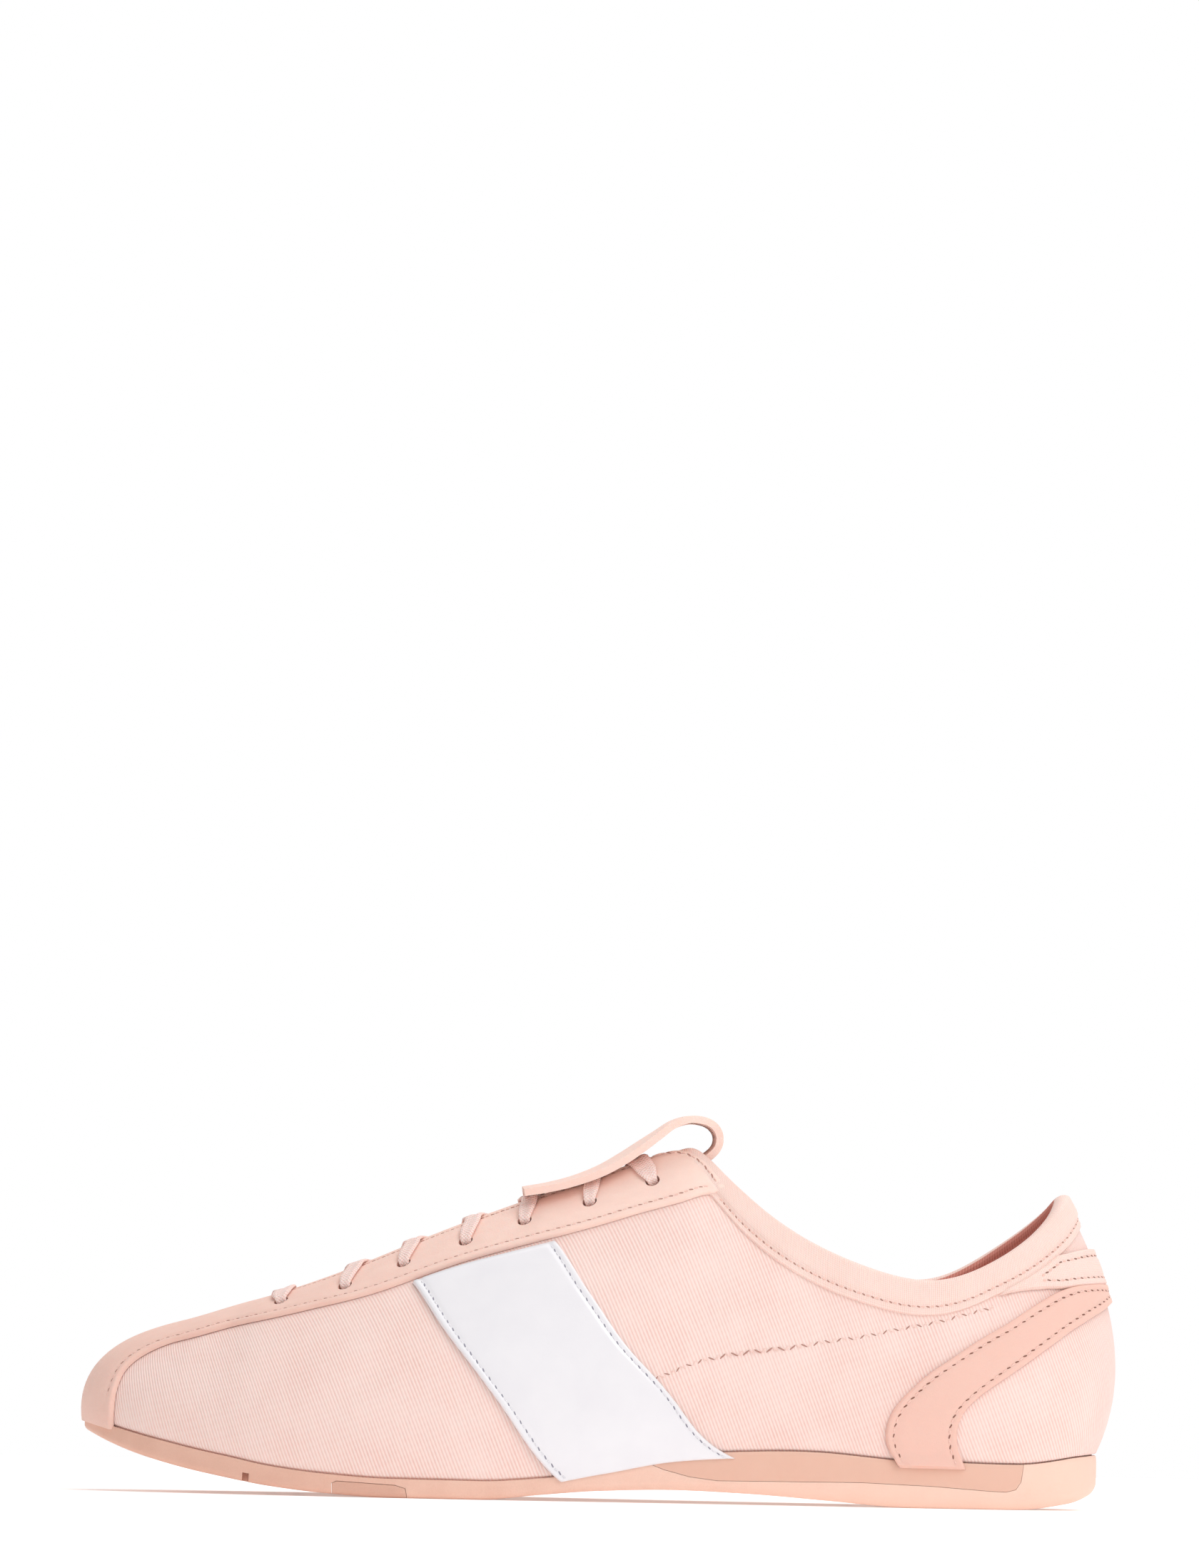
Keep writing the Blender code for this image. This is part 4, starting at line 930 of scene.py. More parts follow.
def applied(obj: bpy.types.Object) -> None:
    """Turns the piece's modifiers into its mesh."""
    graph = bpy.context.evaluated_depsgraph_get()
    mesh = bpy.data.meshes.new_from_object(obj.evaluated_get(graph))
    obj.modifiers.clear()
    obj.data = mesh


def bevelled(obj: bpy.types.Object, width: float, segments: int, degrees: float) -> None:
    """Rounds the edges that bend by more than some degrees, as a mould or a knife leaves them."""
    edge = obj.modifiers.new("edge", "BEVEL")
    edge.width = width
    edge.segments = segments
    edge.limit_method = "ANGLE"
    edge.angle_limit = radians(degrees)
    applied(obj)
    obj.data.shade_smooth()


def sharpened(obj: bpy.types.Object, degrees: float = 60.0) -> None:
    """Shades the edges hard that bend by more than some degrees."""
    obj.data.set_sharp_from_angle(angle=radians(degrees))


def carved(obj: bpy.types.Object, cutters: Sequence, operation: str = "DIFFERENCE") -> None:
    """Cuts a piece with closed bodies, which are removed afterwards."""
    for cutter in cutters:
        boolean = obj.modifiers.new("cut", "BOOLEAN")
        boolean.operation = operation
        boolean.object = cutter
    applied(obj)
    for cutter in cutters:
        bpy.data.objects.remove(cutter)


def finished(obj: bpy.types.Object, finishes: Sequence[Finish], nodes: Sequence[str]) -> None:
    """Dresses a piece, lets it ride on the shoe and hides the solids that it stands for.

    Args:
        obj: the piece.
        finishes: its finishes, the outer one first.
        nodes: the solids that it replaces.
    """
    obj.data.materials.clear()
    for finish in finishes:
        obj.data.materials.append(finish.build())
    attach(obj, next(iter(frame["bodies"])))
    if nodes:
        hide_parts(*nodes)
    LOG.info("%s: %d faces", obj.name, len(obj.data.polygons))


@dataclass(frozen=True)
class Stitching:
    """Lockstitch: rounded beads of thread, and between them dark slits of painted shade where the thread goes
    down.

    Attributes:
        pitch: distance from one stitch to the next.
        share: share of the pitch that shows as thread.
        filled: share of the pitch that thread and slit take up together.
        radius: half the thread's width.
        slit: half a slit's width.
        slant: how far a slit's end lies beside the seam.
    """

    pitch: float = 0.0027
    share: float = 0.42
    filled: float = 0.98
    radius: float = 0.00022
    slit: float = 0.00022
    slant: float = 0.0002

    def beads(self, seam: Array, normals: Array, sway: float, slits: bool) -> Array:
        """Points of every bead or slit on one seam: a ring of six carried along a bowed line.

        Args:
            seam: points along the seam.
            normals: the surface's directions there.
            sway: sideways swing, the other way at every second stitch.
            slits: whether the dark slits of painted shade are wanted.

        Returns:
            An array of beads, rings, ring points and x, y, z.
        """
        run = lengths(seam)
        count = max(int(run[-1] / self.pitch), 2)
        holes = np.linspace(0, run[-1], count + 1)
        middle = holes[1:-1] if slits else (holes[:-1] + holes[1:]) / 2
        half = (holes[1] - holes[0]) / 2 * (self.filled - self.share if slits else self.share)
        at = middle[:, None] + BEAD_RINGS * half
        line, up = (np.stack([np.interp(at, run, a[:, k]) for k in range(3)], -1) for a in (seam, normals))
        up = unit(up)
        aside = np.cross(unit(np.gradient(line, axis=1)), up)
        side = np.where(np.arange(len(middle)) % 2, 1, -1)[:, None] * sway
        swing = BEAD_RINGS * (side + (self.slant if slits and not sway else 0.0))
        radius = self.slit if slits else self.radius
        height = (0.0 if slits else BEAD_RISE) - radius * BEAD_BOW * np.abs(BEAD_RINGS) ** 3
        line = line + up * height[None, :, None] + aside * swing[..., None]
        turn = circle(BEAD_SIDES)[:, None]
        ring = aside[:, :, None] * np.cos(turn) + up[:, :, None] * np.sin(turn) * BEAD_FLATNESS
        return line[:, :, None] + ring * (BEAD_SIZES * radius)[:, None, None]

    def piece(self, name: str, seams: Sequence[tuple], finishes: Sequence[Finish],
              sway: float = 0.0) -> None:
        """All the stitches of some seams as one dressed piece, with closed beads.

        Args:
            name: the piece's name.
            seams: points and directions of each seam.
            finishes: the thread's finish and the painted shade of its slits.
            sway: sideways swing of a zigzag.
        """
        groups = [np.concatenate([self.beads(*seam, sway, slits) for seam in seams])
                  for slits in (False, True)]
        beads = np.concatenate(groups)
        rings = len(BEAD_RINGS)
        ends = np.array([(0, 1, 2, 3), (0, 3, 4, 5), (33, 32, 31, 30), (35, 34, 33, 30)])
        one = np.concatenate([quads(rings, BEAD_SIDES, close_columns=True), ends])
        faces = (one[None] + np.arange(len(beads))[:, None, None] * rings * BEAD_SIDES).reshape(-1, 4)
        around, ahead = np.arange(BEAD_SIDES) * 0.3, np.arange(rings) * 0.4
        uv = np.stack([np.tile(around, rings), np.repeat(ahead, BEAD_SIDES)], -1)
        obj = mesh_object(name, beads, faces, np.tile(uv, (len(beads), 1)))
        # The slits take the second finish, which is painted shade.
        index = np.repeat(np.arange(len(beads)) >= len(groups[0]), len(one)).astype(np.int32)
        face_round(obj)
        finished(obj, finishes, [])
        obj.data.polygons.foreach_set("material_index", index)


@dataclass
class Sole:
    """Rubber outsole, foam wedge, tread block and sock liner.

    Attributes:
        last: the shoe's form.
        around: points round the sole.
    """

    last: Last
    around: int = 340

    def places(self) -> Array:
        """Places round the sole, evenly spaced along its edge and the same on both sides."""
        fine = np.linspace(0, HEEL, FINE)
        edge = np.stack([self.last.along("x", fine), self.last.edge_y(fine)], -1)
        return round_places(edge, self.around // 2 + 1)

    def ring(self, inset: float, height: float) -> Array:
        """A ring inside the sole's edge, at a share of the height of the side wall."""
        w = self.places()
        away = self.last.outward(w)
        edge = np.stack([self.last.along("x", w), self.last.edge_y(w), np.zeros_like(w)], -1)
        sharp = 1 - 0.6 * (1 - eased(edge[:, :1], 0.0, 0.03)) * (inset < SOLE_EDGE_ROUND * 1.01)
        edge += away * (SOLE_MARGIN - inset * sharp)
        low, high = sole_bottom(edge[:, 0]), sole_top(edge[:, 0])
        edge[:, 2] = low + (high - low) * height
        return edge

    def body(self, name: str) -> bpy.types.Object:
        """The whole sole: a quarter round at the floor, a straight wall and a small lean at the top."""
        bend = np.linspace(0, pi / 2, 6)
        rings = [self.ring(SOLE_EDGE_ROUND * (1 - sin(t)), CURVE_TOP * (1 - cos(t))) for t in bend]
        rings += [self.ring(SOLE_EDGE_ROUND * inset, height) for inset, height in WALL_RINGS]
        rings += [self.ring(SOLE_MARGIN + TOUCH, 0.9)]
        return self.closed(name, rings)

    def closed(self, name: str, rings: Sequence[Array]) -> bpy.types.Object:
        """A closed body of rings with flat caps."""
        count, top = len(rings[0]), (len(rings) - 1) * len(rings[0])
        side = quads(len(rings), count, close_columns=True)
        faces = np.concatenate([side, ladder(0, count), ladder(top, count)])
        obj = mesh_object(name, np.stack(rings), faces, weld=True)
        face_round(obj)
        return obj

    def prism(self, outline: Array, grow: float = 0.0) -> bpy.types.Object:
        """A cutter right across the shoe, of an outline seen from the side, grown all round."""
        flat = outline * (LENGTH, HEEL_STACK)
        run = np.roll(flat, -1, 0) - np.roll(flat, 1, 0)
        away = np.stack([run[:, 1], -run[:, 0]], -1) / np.linalg.norm(run, axis=1)[:, None]
        area = np.sum(flat[:, 0] * np.roll(flat[:, 1], -1) - np.roll(flat[:, 0], -1) * flat[:, 1])
        flat = flat + away * grow * np.sign(area)
        n = len(flat)
        points = [Vector((x - LENGTH / 2, y, z)) for y in (-BALL_WIDTH, BALL_WIDTH) for x, z in flat]
        faces = [tuple(range(n)), tuple(range(2 * n - 1, n - 1, -1))]
        faces += [(i, (i + 1) % n, n + (i + 1) % n, n + i) for i in range(n)]
        return solid("prism", points, faces)

    def rib_value(self, column: int, share: float) -> float:
        """A width of the ribs in metres at a share of the length, straight from rib to rib."""
        return float(np.interp(share, RIBS[:, 0], RIBS[:, column] * BALL_WIDTH))

    def groove(self, share: float, half_width: float, depth: float, half_length: float, aside: float = 0.0,
               lean: float = 0.0) -> bpy.types.Object:
        """A cutter for one groove across the tread, on the slope of the underside there.

        Args:
            share: its place as a share of LENGTH.
            half_width: half its width.
            depth: its depth.
            half_length: half its length across the shoe.
            aside: how far its middle lies beside the sole's middle line.
            lean: how far its floor lies towards the toe.

        Returns:
            The cutter.
        """
        x, step = share * LENGTH, 0.004
        slope = atan(float(sole_bottom(x + step) - sole_bottom(x - step)) / (2 * step))
        run, up = np.array([cos(slope), 0, sin(slope)]), np.array([-sin(slope), 0, cos(slope)])
        middle = np.array([x, self.rib_value(1, share) + aside, float(sole_bottom(x))])
        corners = [middle + run * (a * half_width - lean * (b > 0)) + up * b + (0, c * half_length, 0)
                   for c in (-1, 1) for b in (-step, depth) for a in (-1, 1)]
        faces = np.array([(0, 1, 3, 2), (4, 6, 7, 5), (0, 4, 5, 1), (2, 3, 7, 6), (0, 2, 6, 4), (1, 5, 7, 3)])
        obj = mesh_object("groove", np.array(corners), faces)
        face_round(obj)
        return obj

    def grooves(self) -> list:
        """Cutters for the notch by the toe and for the grooves of forefoot and heel."""
        edge = self.rib_value(2, NOTCH_X)
        cutters = [self.groove(NOTCH_X, NOTCH_WIDTH / 2, NOTCH_DEPTH, NOTCH_REACH, side * edge, NOTCH_LEAN)
                   for side in SIDES]
        for share in FOREFOOT_GROOVES + HEEL_GROOVES:
            half = self.rib_value(2, share) - TREAD_RIM
            cutters.append(self.groove(share, TREAD_WIDTH / 2, TREAD_DEPTH, half))
        return cutters

    def make(self) -> None:
        """Builds and dresses the four pieces."""
        names = ("rubber_outsole", "foam_wedge", "rubber_tread_block")
        outsole, wedge, block = (self.body(name) for name in names)
        carved(wedge, [self.prism(WEDGE)], "INTERSECT")
        carved(block, [self.prism(TREAD_BLOCK)], "INTERSECT")
        carved(outsole, [self.prism(WEDGE, SEAM), self.prism(TREAD_BLOCK, SEAM)] + self.grooves())
        nodes = ("outsole", "midsole_wedge", "tread_block")
        finishes = (SOLE_RUBBER, WEDGE_FOAM, TREAD_RUBBER)
        for obj, node, finish in zip((outsole, wedge, block), nodes, finishes):
            bevelled(obj, MOULD_ROUND, 2, 40)
            sharpened(obj, 50.0)
            finished(obj, [finish], [node])
        self.liner()

    def liner(self) -> None:
        """Sock liner: rings inside the upper, rounded at its upper edge."""
        rings = []
        for inset, height in LINER_RINGS:
            ring = self.ring(SOLE_MARGIN + WALL + INSOLE_CLEARANCE + inset, 1)
            ring[:, 2] += GAP + height * INSOLE_THICKNESS
            rings.append(ring)
        obj = self.closed("sock_liner", rings)
        mesh = obj.data
        layer = mesh.uv_layers.new(name="UVMap")
        corners = np.empty(len(mesh.loops), dtype=np.int32)
        mesh.loops.foreach_get("vertex_index", corners)
        points = np.empty(len(mesh.vertices) * 3)
        mesh.vertices.foreach_get("co", points)
        layer.uv.foreach_set("vector", (points.reshape(-1, 3)[corners, :2] / MM).ravel())
        sharpened(obj)
        finished(obj, [LINER_CLOTH], ["insole"])


@dataclass(frozen=True)
class Crease:
    """A soft trough in the cloth with a low ridge on each side of it.

    Attributes:
        start: place (w, v) of one end.
        end: place of the other end.
        depth: depth in millimetres.
        width: width in millimetres.
    """

    start: tuple
    end: tuple
    depth: float
    width: float


# Creases: where the vamp flexes, behind the strip, and where the binding gathers the quarter
CREASES = (
    Crease((4.6, 0.30), (6.3, 0.62), 0.35, 5.0),
    Crease((5.6, 0.22), (6.9, 0.50), 0.25, 4.5),
    Crease((9.9, 0.30), (12.0, 0.62), 0.40, 6.0),
    Crease((11.2, 0.20), (13.3, 0.45), 0.30, 6.0),
    Crease((12.6, 0.55), (13.6, 0.78), 0.35, 3.6),
    Crease((14.6, 0.35), (15.6, 0.66), 0.35, 4.5),
    Crease((16.8, 0.30), (17.4, 0.62), 0.25, 5.0),
    Crease((2.4, 0.25), (3.4, 0.55), 0.22, 3.6),
)


@dataclass
class Upper:
    """The fabric body of the shoe, with its lining, its wavy seam and the lace holes.

    Attributes:
        last: the shoe's form.
        around: points from toe to heel on each side.
        up: points from the sole to the top edge.
    """

    last: Last
    around: int = 230
    up: int = 84

    def places(self) -> Array:
        """Places round the upper, evenly spaced along the middle of its side."""
        side = self.last.surface(np.linspace(0, HEEL, FINE), np.full(FINE, 0.35))
        return round_places(side, self.around, (THROAT,))

    def relief(self, points: Array, side_lines: Sequence[tuple]) -> Array:
        """Height of the creases at each point: a trough less its two low ridges, faded at its ends.

        Args:
            points: points of the upper.
            side_lines: each crease with its points on one side.

        Returns:
            Heights to add, in metres.
        """
        flat = points.reshape(-1, 3)
        total = np.zeros(len(flat))
        for crease, line in side_lines:
            near = np.full(len(flat), 1e9)
            place = np.zeros(len(flat))
            for k, point in enumerate(line):
                far = np.sum((flat - point) ** 2, axis=1)
                closer = far < near
                near, place = np.where(closer, far, near), np.where(closer, k / (len(line) - 1), place)
            d = near / (crease.width * MM) ** 2
            trough = crease.depth * MM * (1 - 0.7 * d) * np.exp(-d * 0.8)
            total -= trough * np.sin(pi * np.clip(place, 0.04, 0.96))
        return total.reshape(points.shape[:-1])

    def make(self) -> None:
        """Builds the cloth with its lining, punches the lace holes and sews the wavy seam."""
        w = self.places()
        v = np.concatenate([np.linspace(0, 0.02, 5)[:-1], np.linspace(0.02, 1, self.up)])
        grid_w, grid_v = np.meshgrid(w, v, indexing="ij")
        base = self.last.surface(grid_w, grid_v)
        lines = [(crease, self.last.at(flowing([crease.start, crease.end], 22), side)[0])
                 for crease in CREASES for side in SIDES]
        rising = grid_lengths(base) / MM
        lift = self.relief(base, lines) - RECESS * (1 - eased(rising, 0.5, 1.3))
        points = base + self.last.normal(grid_w, grid_v) * lift[..., None]
        points[:, -1] = base[:, -1]
        middle = base[:, self.up // 3]
        around = lengths(np.vstack([middle, middle[:1]]))[:-1] / MM
        ahead = (np.roll(middle, -1, axis=0) - np.roll(middle, 1, axis=0))[:, :2]
        lengthwise = ahead[:, 0] / np.linalg.norm(ahead, axis=1)
        shifted = (base[..., 0] - middle[:, None, 0]) * lengthwise[:, None] / MM
        uv = np.stack([around[:, None] + shifted, rising], -1)
        obj = mesh_object("fabric_upper", points, quads(len(w), len(v), close_rows=True), uv, weld=True)
        face_out(obj, INSIDE)
        thickened(obj, WALL, 1)
        # The wall's inner faces take the second finish, so both have to be there before the cut
        for finish in (UPPER_CLOTH, LINING_CLOTH):
            obj.data.materials.append(finish.build())
        carved(obj, [punches(self.last)])
        sharpened(obj)
        finished(obj, [UPPER_CLOTH, LINING_CLOTH], ["upper"])
        self.wavy_seam()

    def wavy_seam(self) -> None:
        """A zigzag of tonal thread along each side, which holds the lining to the cloth."""
        seams = [self.last.at(flowing(self.last.located(WAVY_SEAM, side), 160), side) for side in SIDES]
        Stitching(pitch=0.003).piece("wavy_seam_thread", seams, [SEAM_THREAD, SEAM_HOLE_SHADE], 0.0005)


def punches(last: Last) -> bpy.types.Object:
    """One cutter of fourteen short cylinders, square to the surface at each eyelet."""
    count, reach = 20, 0.005
    turn = circle(count)[:, None]
    rings, faces = [], []
    for side in SIDES:
        centre, up = last.at(last.located(EYELETS, side), side)
        along = unit(np.cross(up, np.array([0.0, 1.0, 0.0])))
        aside = np.cross(up, along)
        ring = along[:, None] * np.cos(turn) + aside[:, None] * np.sin(turn)
        low = centre[:, None] + ring * EYELET_RADIUS - up[:, None] * reach
        high = centre[:, None] + ring * EYELET_RADIUS + up[:, None] * reach
        for pair in zip(low, high):
            start = len(rings) * count
            rings += pair
            faces += [(start + i, start + (i + 1) % count, start + count + (i + 1) % count, start + count + i)
                      for i in range(count)]
            faces += [tuple(range(start, start + count)), tuple(range(start + count, start + 2 * count))]
    return solid("punches", np.concatenate(rings) - CENTRE, faces)


@dataclass
class Overlays:
    """Suede strip, saddle panels, heel strap and heel tab, each with rolled edges and stitching.

    Attributes:
        last: the shoe's form.
        height: height of an overlay above the cloth.
        roll: width of its rolled edge.
        seam: distance of the stitching from the edge.
        top_end: place where the strip ends at the throat's edge; it ends further back below, on a slant.
        edge: height at which a rolled edge starts.
        dip: depth of the line where the stitches pull.
        dip_width: its width.
        swell: height of the swelling between that line and the edge.
        swell_width: its width.
        dish: depth of the dish round each punched hole.
        parting: ribs behind the throat's front between which the strip parts.
        sewn_ends: length at the strip's toe and at its back end without stitching along its sides.
        sewn_corner: distance from the corners at which the stitching across its back end stops.
        buried: how deep an end that sinks into the cloth goes below it.
        tuck: how far a band reaches up under the collar's binding.
        columns: points across a band.
        rows: points along a saddle panel's edges.
        round_heel: points along a band round the heel.
    """

    last: Last
    height: float = PANEL_LIFT + OVERLAY
    roll: float = 0.0009
    seam: float = 0.002
    top_end: float = 9.95
    edge: float = 0.0002
    dip: float = 0.00032
    dip_width: float = 0.0007
    swell: float = 0.00022
    swell_width: float = 0.0008
    dish: float = 0.00045
    parting: tuple = (0.15, 0.7)
    sewn_ends: tuple = (0.006, 0.003)
    sewn_corner: float = 0.0012
    buried: float = 0.0004
    tuck: float = 0.0004
    columns: int = 30
    rows: int = 90
    round_heel: int = 240

    def edge_lift(self, distance: Array, stitched: Array | float = 1.0) -> Array:
        """Height at a distance from an edge: a quarter round, then a dip where the stitches pull.

        Args:
            distance: distance from the edge.
            stitched: 1 where a seam runs along that edge, else 0.

        Returns:
            Heights above the cloth.
        """
        t = np.clip(1 - distance / self.roll, 0, 1)
        rounded = self.edge + (self.height - self.edge) * np.sqrt(np.clip(1 - t * t, 0, 1))
        dip = self.dip * np.exp(-(((distance - self.seam) / self.dip_width) ** 2))
        swell = self.swell * np.exp(-(((distance - self.seam * 0.5) / self.swell_width) ** 2))
        return rounded + (swell - dip) * stitched

    def strip_centre(self) -> tuple:
        """Places along the strip's middle, up the toe and along the ridge and throat, with their lengths."""
        toe = np.stack([np.zeros(13), np.linspace(0, 1, 13)], -1)
        ridge = np.stack([np.linspace(0, self.top_end, 80), np.ones(80)], -1)[1:]
        path = np.vstack([toe, ridge])
        return path, lengths(self.last.surface(path[:, 0], path[:, 1]))

    def strip_edge(self, side: int, count: int) -> Array:
        """Places of the strip's lower edge, from the sole at the toe to the throat's top corner."""
        inner = self.last.located(STRIP_EDGE, side)
        first = np.array([[inner[0, 0] - 0.02, 0.0]])
        return flowing(np.vstack([first, inner]), count)

    def strip_places(self, count: int, columns: int) -> dict:
        """Grids of places over the strip's two halves, from their shared middle line to the lower edges."""
        path, run = self.strip_centre()
        edges = {side: self.strip_edge(side, count) for side in SIDES}
        far = [lengths(self.last.at(edge, side)[0]) for side, edge in edges.items()]
        shares = np.mean([run_down / run_down[-1] for run_down in far], axis=0)
        toe = run[12] / run[-1]
        late = toe + (shares - TOE_BEND) / (1 - TOE_BEND) * (1 - toe)
        matched = np.where(shares < TOE_BEND, shares / TOE_BEND * toe, late) * run[-1]
        middle = np.stack([np.interp(matched, run, path[:, k]) for k in range(2)], -1)
        f = crowded(columns)[None, :, None]
        return {side: middle[:, None] * (1 - f) + edge[:, None] * f for side, edge in edges.items()}

    def row_at(self, real: Array, up: Array, distance: Array, turned_over: bool) -> tuple[Array, Array]:
        """Points and directions of a row of stitching, at its distance from an edge."""
        first, second = (at_distance(a, distance, self.seam, turned_over) for a in (real, up))
        return first, second

    def half_strip(self, grid: Array, side: int) -> tuple:
        """One half of the strip.

        Args:
            grid: its places from the middle line to the lower edge.
            side: which side it is on.

        Returns:
            Its points, its map in millimetres and its rows of stitching.
        """
        base, up = self.last.at(grid, side)
        run = grid_lengths(base)
        below = run[:, -1:] - run
        open_here = eased(grid[:, :1, 0], THROAT + self.parting[0], THROAT + self.parting[1])
        ahead = lengths(base[:, grid.shape[1] // 2])
        behind = (ahead[-1] - ahead)[:, None] + 0 * run
        stitched = eased(ahead[:, None], 0.004, 0.010)
        lift = np.minimum(self.edge_lift(below, stitched), self.edge_lift(behind))
        lift = np.minimum(lift, self.edge_lift(run) * open_here + (1 - open_here) * self.height)
        lift += self.holes_dip(base, side)
        up[..., 1] *= open_here + (1 - open_here) * eased(run, 0.0, 0.005)
        up = unit(up)
        real = base + up * lift[..., None]
        shared = self.shared(grid)
        real[shared, 0, 1] = self.last.along("spine", grid[shared, 0, 0])
        low, high = self.row_at(real, up, below[:, ::-1], True), self.row_at(real, up, run, False)
        sewn = (ahead > self.sewn_ends[0]) & (ahead < ahead[-1] - self.sewn_ends[1])
        throat = sewn & (open_here[:, 0] > 0.9)
        end = int(np.searchsorted(ahead, ahead[-1] - self.seam * 0.8))
        across = np.minimum(run[end], below[end]) > self.sewn_corner
        seams = [(low[0][sewn], low[1][sewn]), (high[0][throat], high[1][throat]),
                 (real[end, across], up[end, across])]
        return real, np.stack([np.broadcast_to(ahead[:, None], run.shape), run], -1) / MM, seams

    def shared(self, grid: Array) -> Array:
        """Which rows of a half start on the middle line up the toe and along the ridge, before the throat."""
        w, v = grid[:, 0, 0], grid[:, 0, 1]
        return (w < 1e-6) | ((v > 1 - 1e-6) & (w <= THROAT + 1e-6))

    def make_strip(self) -> None:
        """Toe strip and eyestay in one, with the rows of stitching that follow its edges."""
        grids = self.strip_places(300, 34)
        points, uvs, seams = zip(*(self.half_strip(grid, side) for side, grid in grids.items()))
        shared = self.shared(grids[1])
        seam_points = (points[0][:, 0] + points[1][:, 0]) / 2
        for real in points:
            real[shared, 0] = seam_points[shared]
        one = quads(*points[0].shape[:2])
        faces = np.concatenate([one, one + points[0][..., 0].size])
        obj = mesh_object("suede_strip", np.stack(points), faces, np.stack(uvs), weld=True)
        face_out(obj, INSIDE)
        thickened(obj, self.height)
        carved(obj, [punches(self.last)])
        sharpened(obj)
        finished(obj, [STRIP_SUEDE], ["eyestay"])
        Stitching().piece("suede_strip_thread", seams[0] + seams[1], [PINK_THREAD, SEAM_HOLE_SHADE])

    def holes_dip(self, base: Array, side: int) -> Array:
        """A shallow dish round each punched hole, where the lace presses the suede down."""
        total = np.zeros(base.shape[:-1])
        for centre in self.last.at(self.last.located(EYELETS, side), side)[0]:
            far = np.sum((base - centre) ** 2, axis=-1)
            total -= self.dish * np.exp(-far / (EYELET_RADIUS * 1.5) ** 2)
        return total

    def band(self, name: str, places: Array, finish: Finish, node: str, sunk: bool = False,
             foot: float = 0.0) -> None:
        """An overlay over a grid of places, with rolled edges and its two long sides stitched.

        Args:
            name: the piece's name.
            places: a grid of w and v.
            finish: its finish.
            node: the solid that it replaces.
            sunk: whether its two short ends sink into the cloth.
            foot: how much higher its two short ends stand, to lie over the sole's edge.
        """
        w, v = places[..., 0], places[..., 1]
        base, up = self.last.surface(w, v), self.last.normal(w, v)
        one, two = grid_lengths(base, 0), grid_lengths(base, 1)
        ends, sides = (one, one[-1:] - one), (two, two[:, -1:] - two)
        lift = np.full(w.shape, self.height)
        for distance in ends:
            if sunk:
                lift = lift - (self.height + self.buried) * (1 - eased(distance, 0.0005, 0.006))
            else:
                lift = np.minimum(lift, self.edge_lift(distance, 0.0))
        for distance in sides:
            lift = np.minimum(lift, self.edge_lift(distance))
        lift = lift + foot * (1 - eased(np.minimum(*ends), 0.0014, 0.004))
        real = base + up * lift[..., None]
        obj = mesh_object(name, real, quads(*w.shape), np.stack([one, two], -1) / MM)
        face_out(obj, INSIDE)
        thickened(obj, self.height)
        applied(obj)
        sharpened(obj)
        finished(obj, [finish], [node])
        threads = []
        for distance, turned_over in zip(sides, (False, True)):
            grows = distance[:, ::-1] if turned_over else distance
            wide = grows[1:-1, -1] > self.seam * 2.4
            threads.append(tuple(a[1:-1][wide] for a in self.row_at(real, up, grows, turned_over)))
        pair = [WHITE_THREAD, WHITE_HOLE_SHADE] if finish is WHITE_LEATHER else [PINK_THREAD, PINK_HOLE_SHADE]
        Stitching().piece(f"{name}_thread", threads, pair)

    def make_panels(self) -> None:
        """A white saddle panel on each side, from under the strip down to the sole."""
        for side, name in SIDE_NAMES.items():
            front, back = (flowing(self.last.located(edge, side), self.rows)
                           for edge in (PANEL_FRONT, PANEL_BACK))
            strip = self.strip_edge(side, 300)
            f = crowded(2 * self.columns)[None, :, None]
            grid = front[:, None] * (1 - f) + back[:, None] * f
            top = np.interp(grid[0, :, 0], strip[30:, 0], strip[30:, 1])
            down = np.linspace(0, 1, self.rows)
            drop = eased(down[::-1], 0.0, 1.0)[:, None]
            grid[..., 1] += (top - 0.012 - grid[0, :, 1])[None] * drop
            low = grid[-1, :, 1] + self.overhang(turned(grid[-1, :, 0], side), 0.0011)
            grid[..., 1] -= low[None] * eased(down, 0.55, 1.0)[:, None]
            grid[..., 0] = turned(grid[..., 0], side)
            self.band(f"saddle_panel_{name}", grid, WHITE_LEATHER, f"side_panel_{name}")

    def overhang(self, w: Array, reach: float) -> Array:
        """Shares of the way up each rib that make a reach in metres at its foot."""
        step = 0.01
        return reach * step / np.linalg.norm(self.last.surface(w, step) - self.last.surface(w, 0.0), axis=-1)

    def round_the_heel(self, edge: Array, back: float, count: int) -> Array:
        """An edge on the outer side carried round the back of the heel to the inner side, as places."""
        outer = self.last.located(edge, -1)
        inner = self.last.located(edge, 1)[::-1]
        inner[:, 0] = ROUND - inner[:, 0]
        v = np.linspace(0, 1, 400)
        height = self.last.surface(np.full(400, float(HEEL)), v)[:, 2]
        middle = np.interp(back * INSTEP_HEIGHT, height, v)
        return flowing(np.vstack([outer, [[HEEL, middle]], inner]), count)

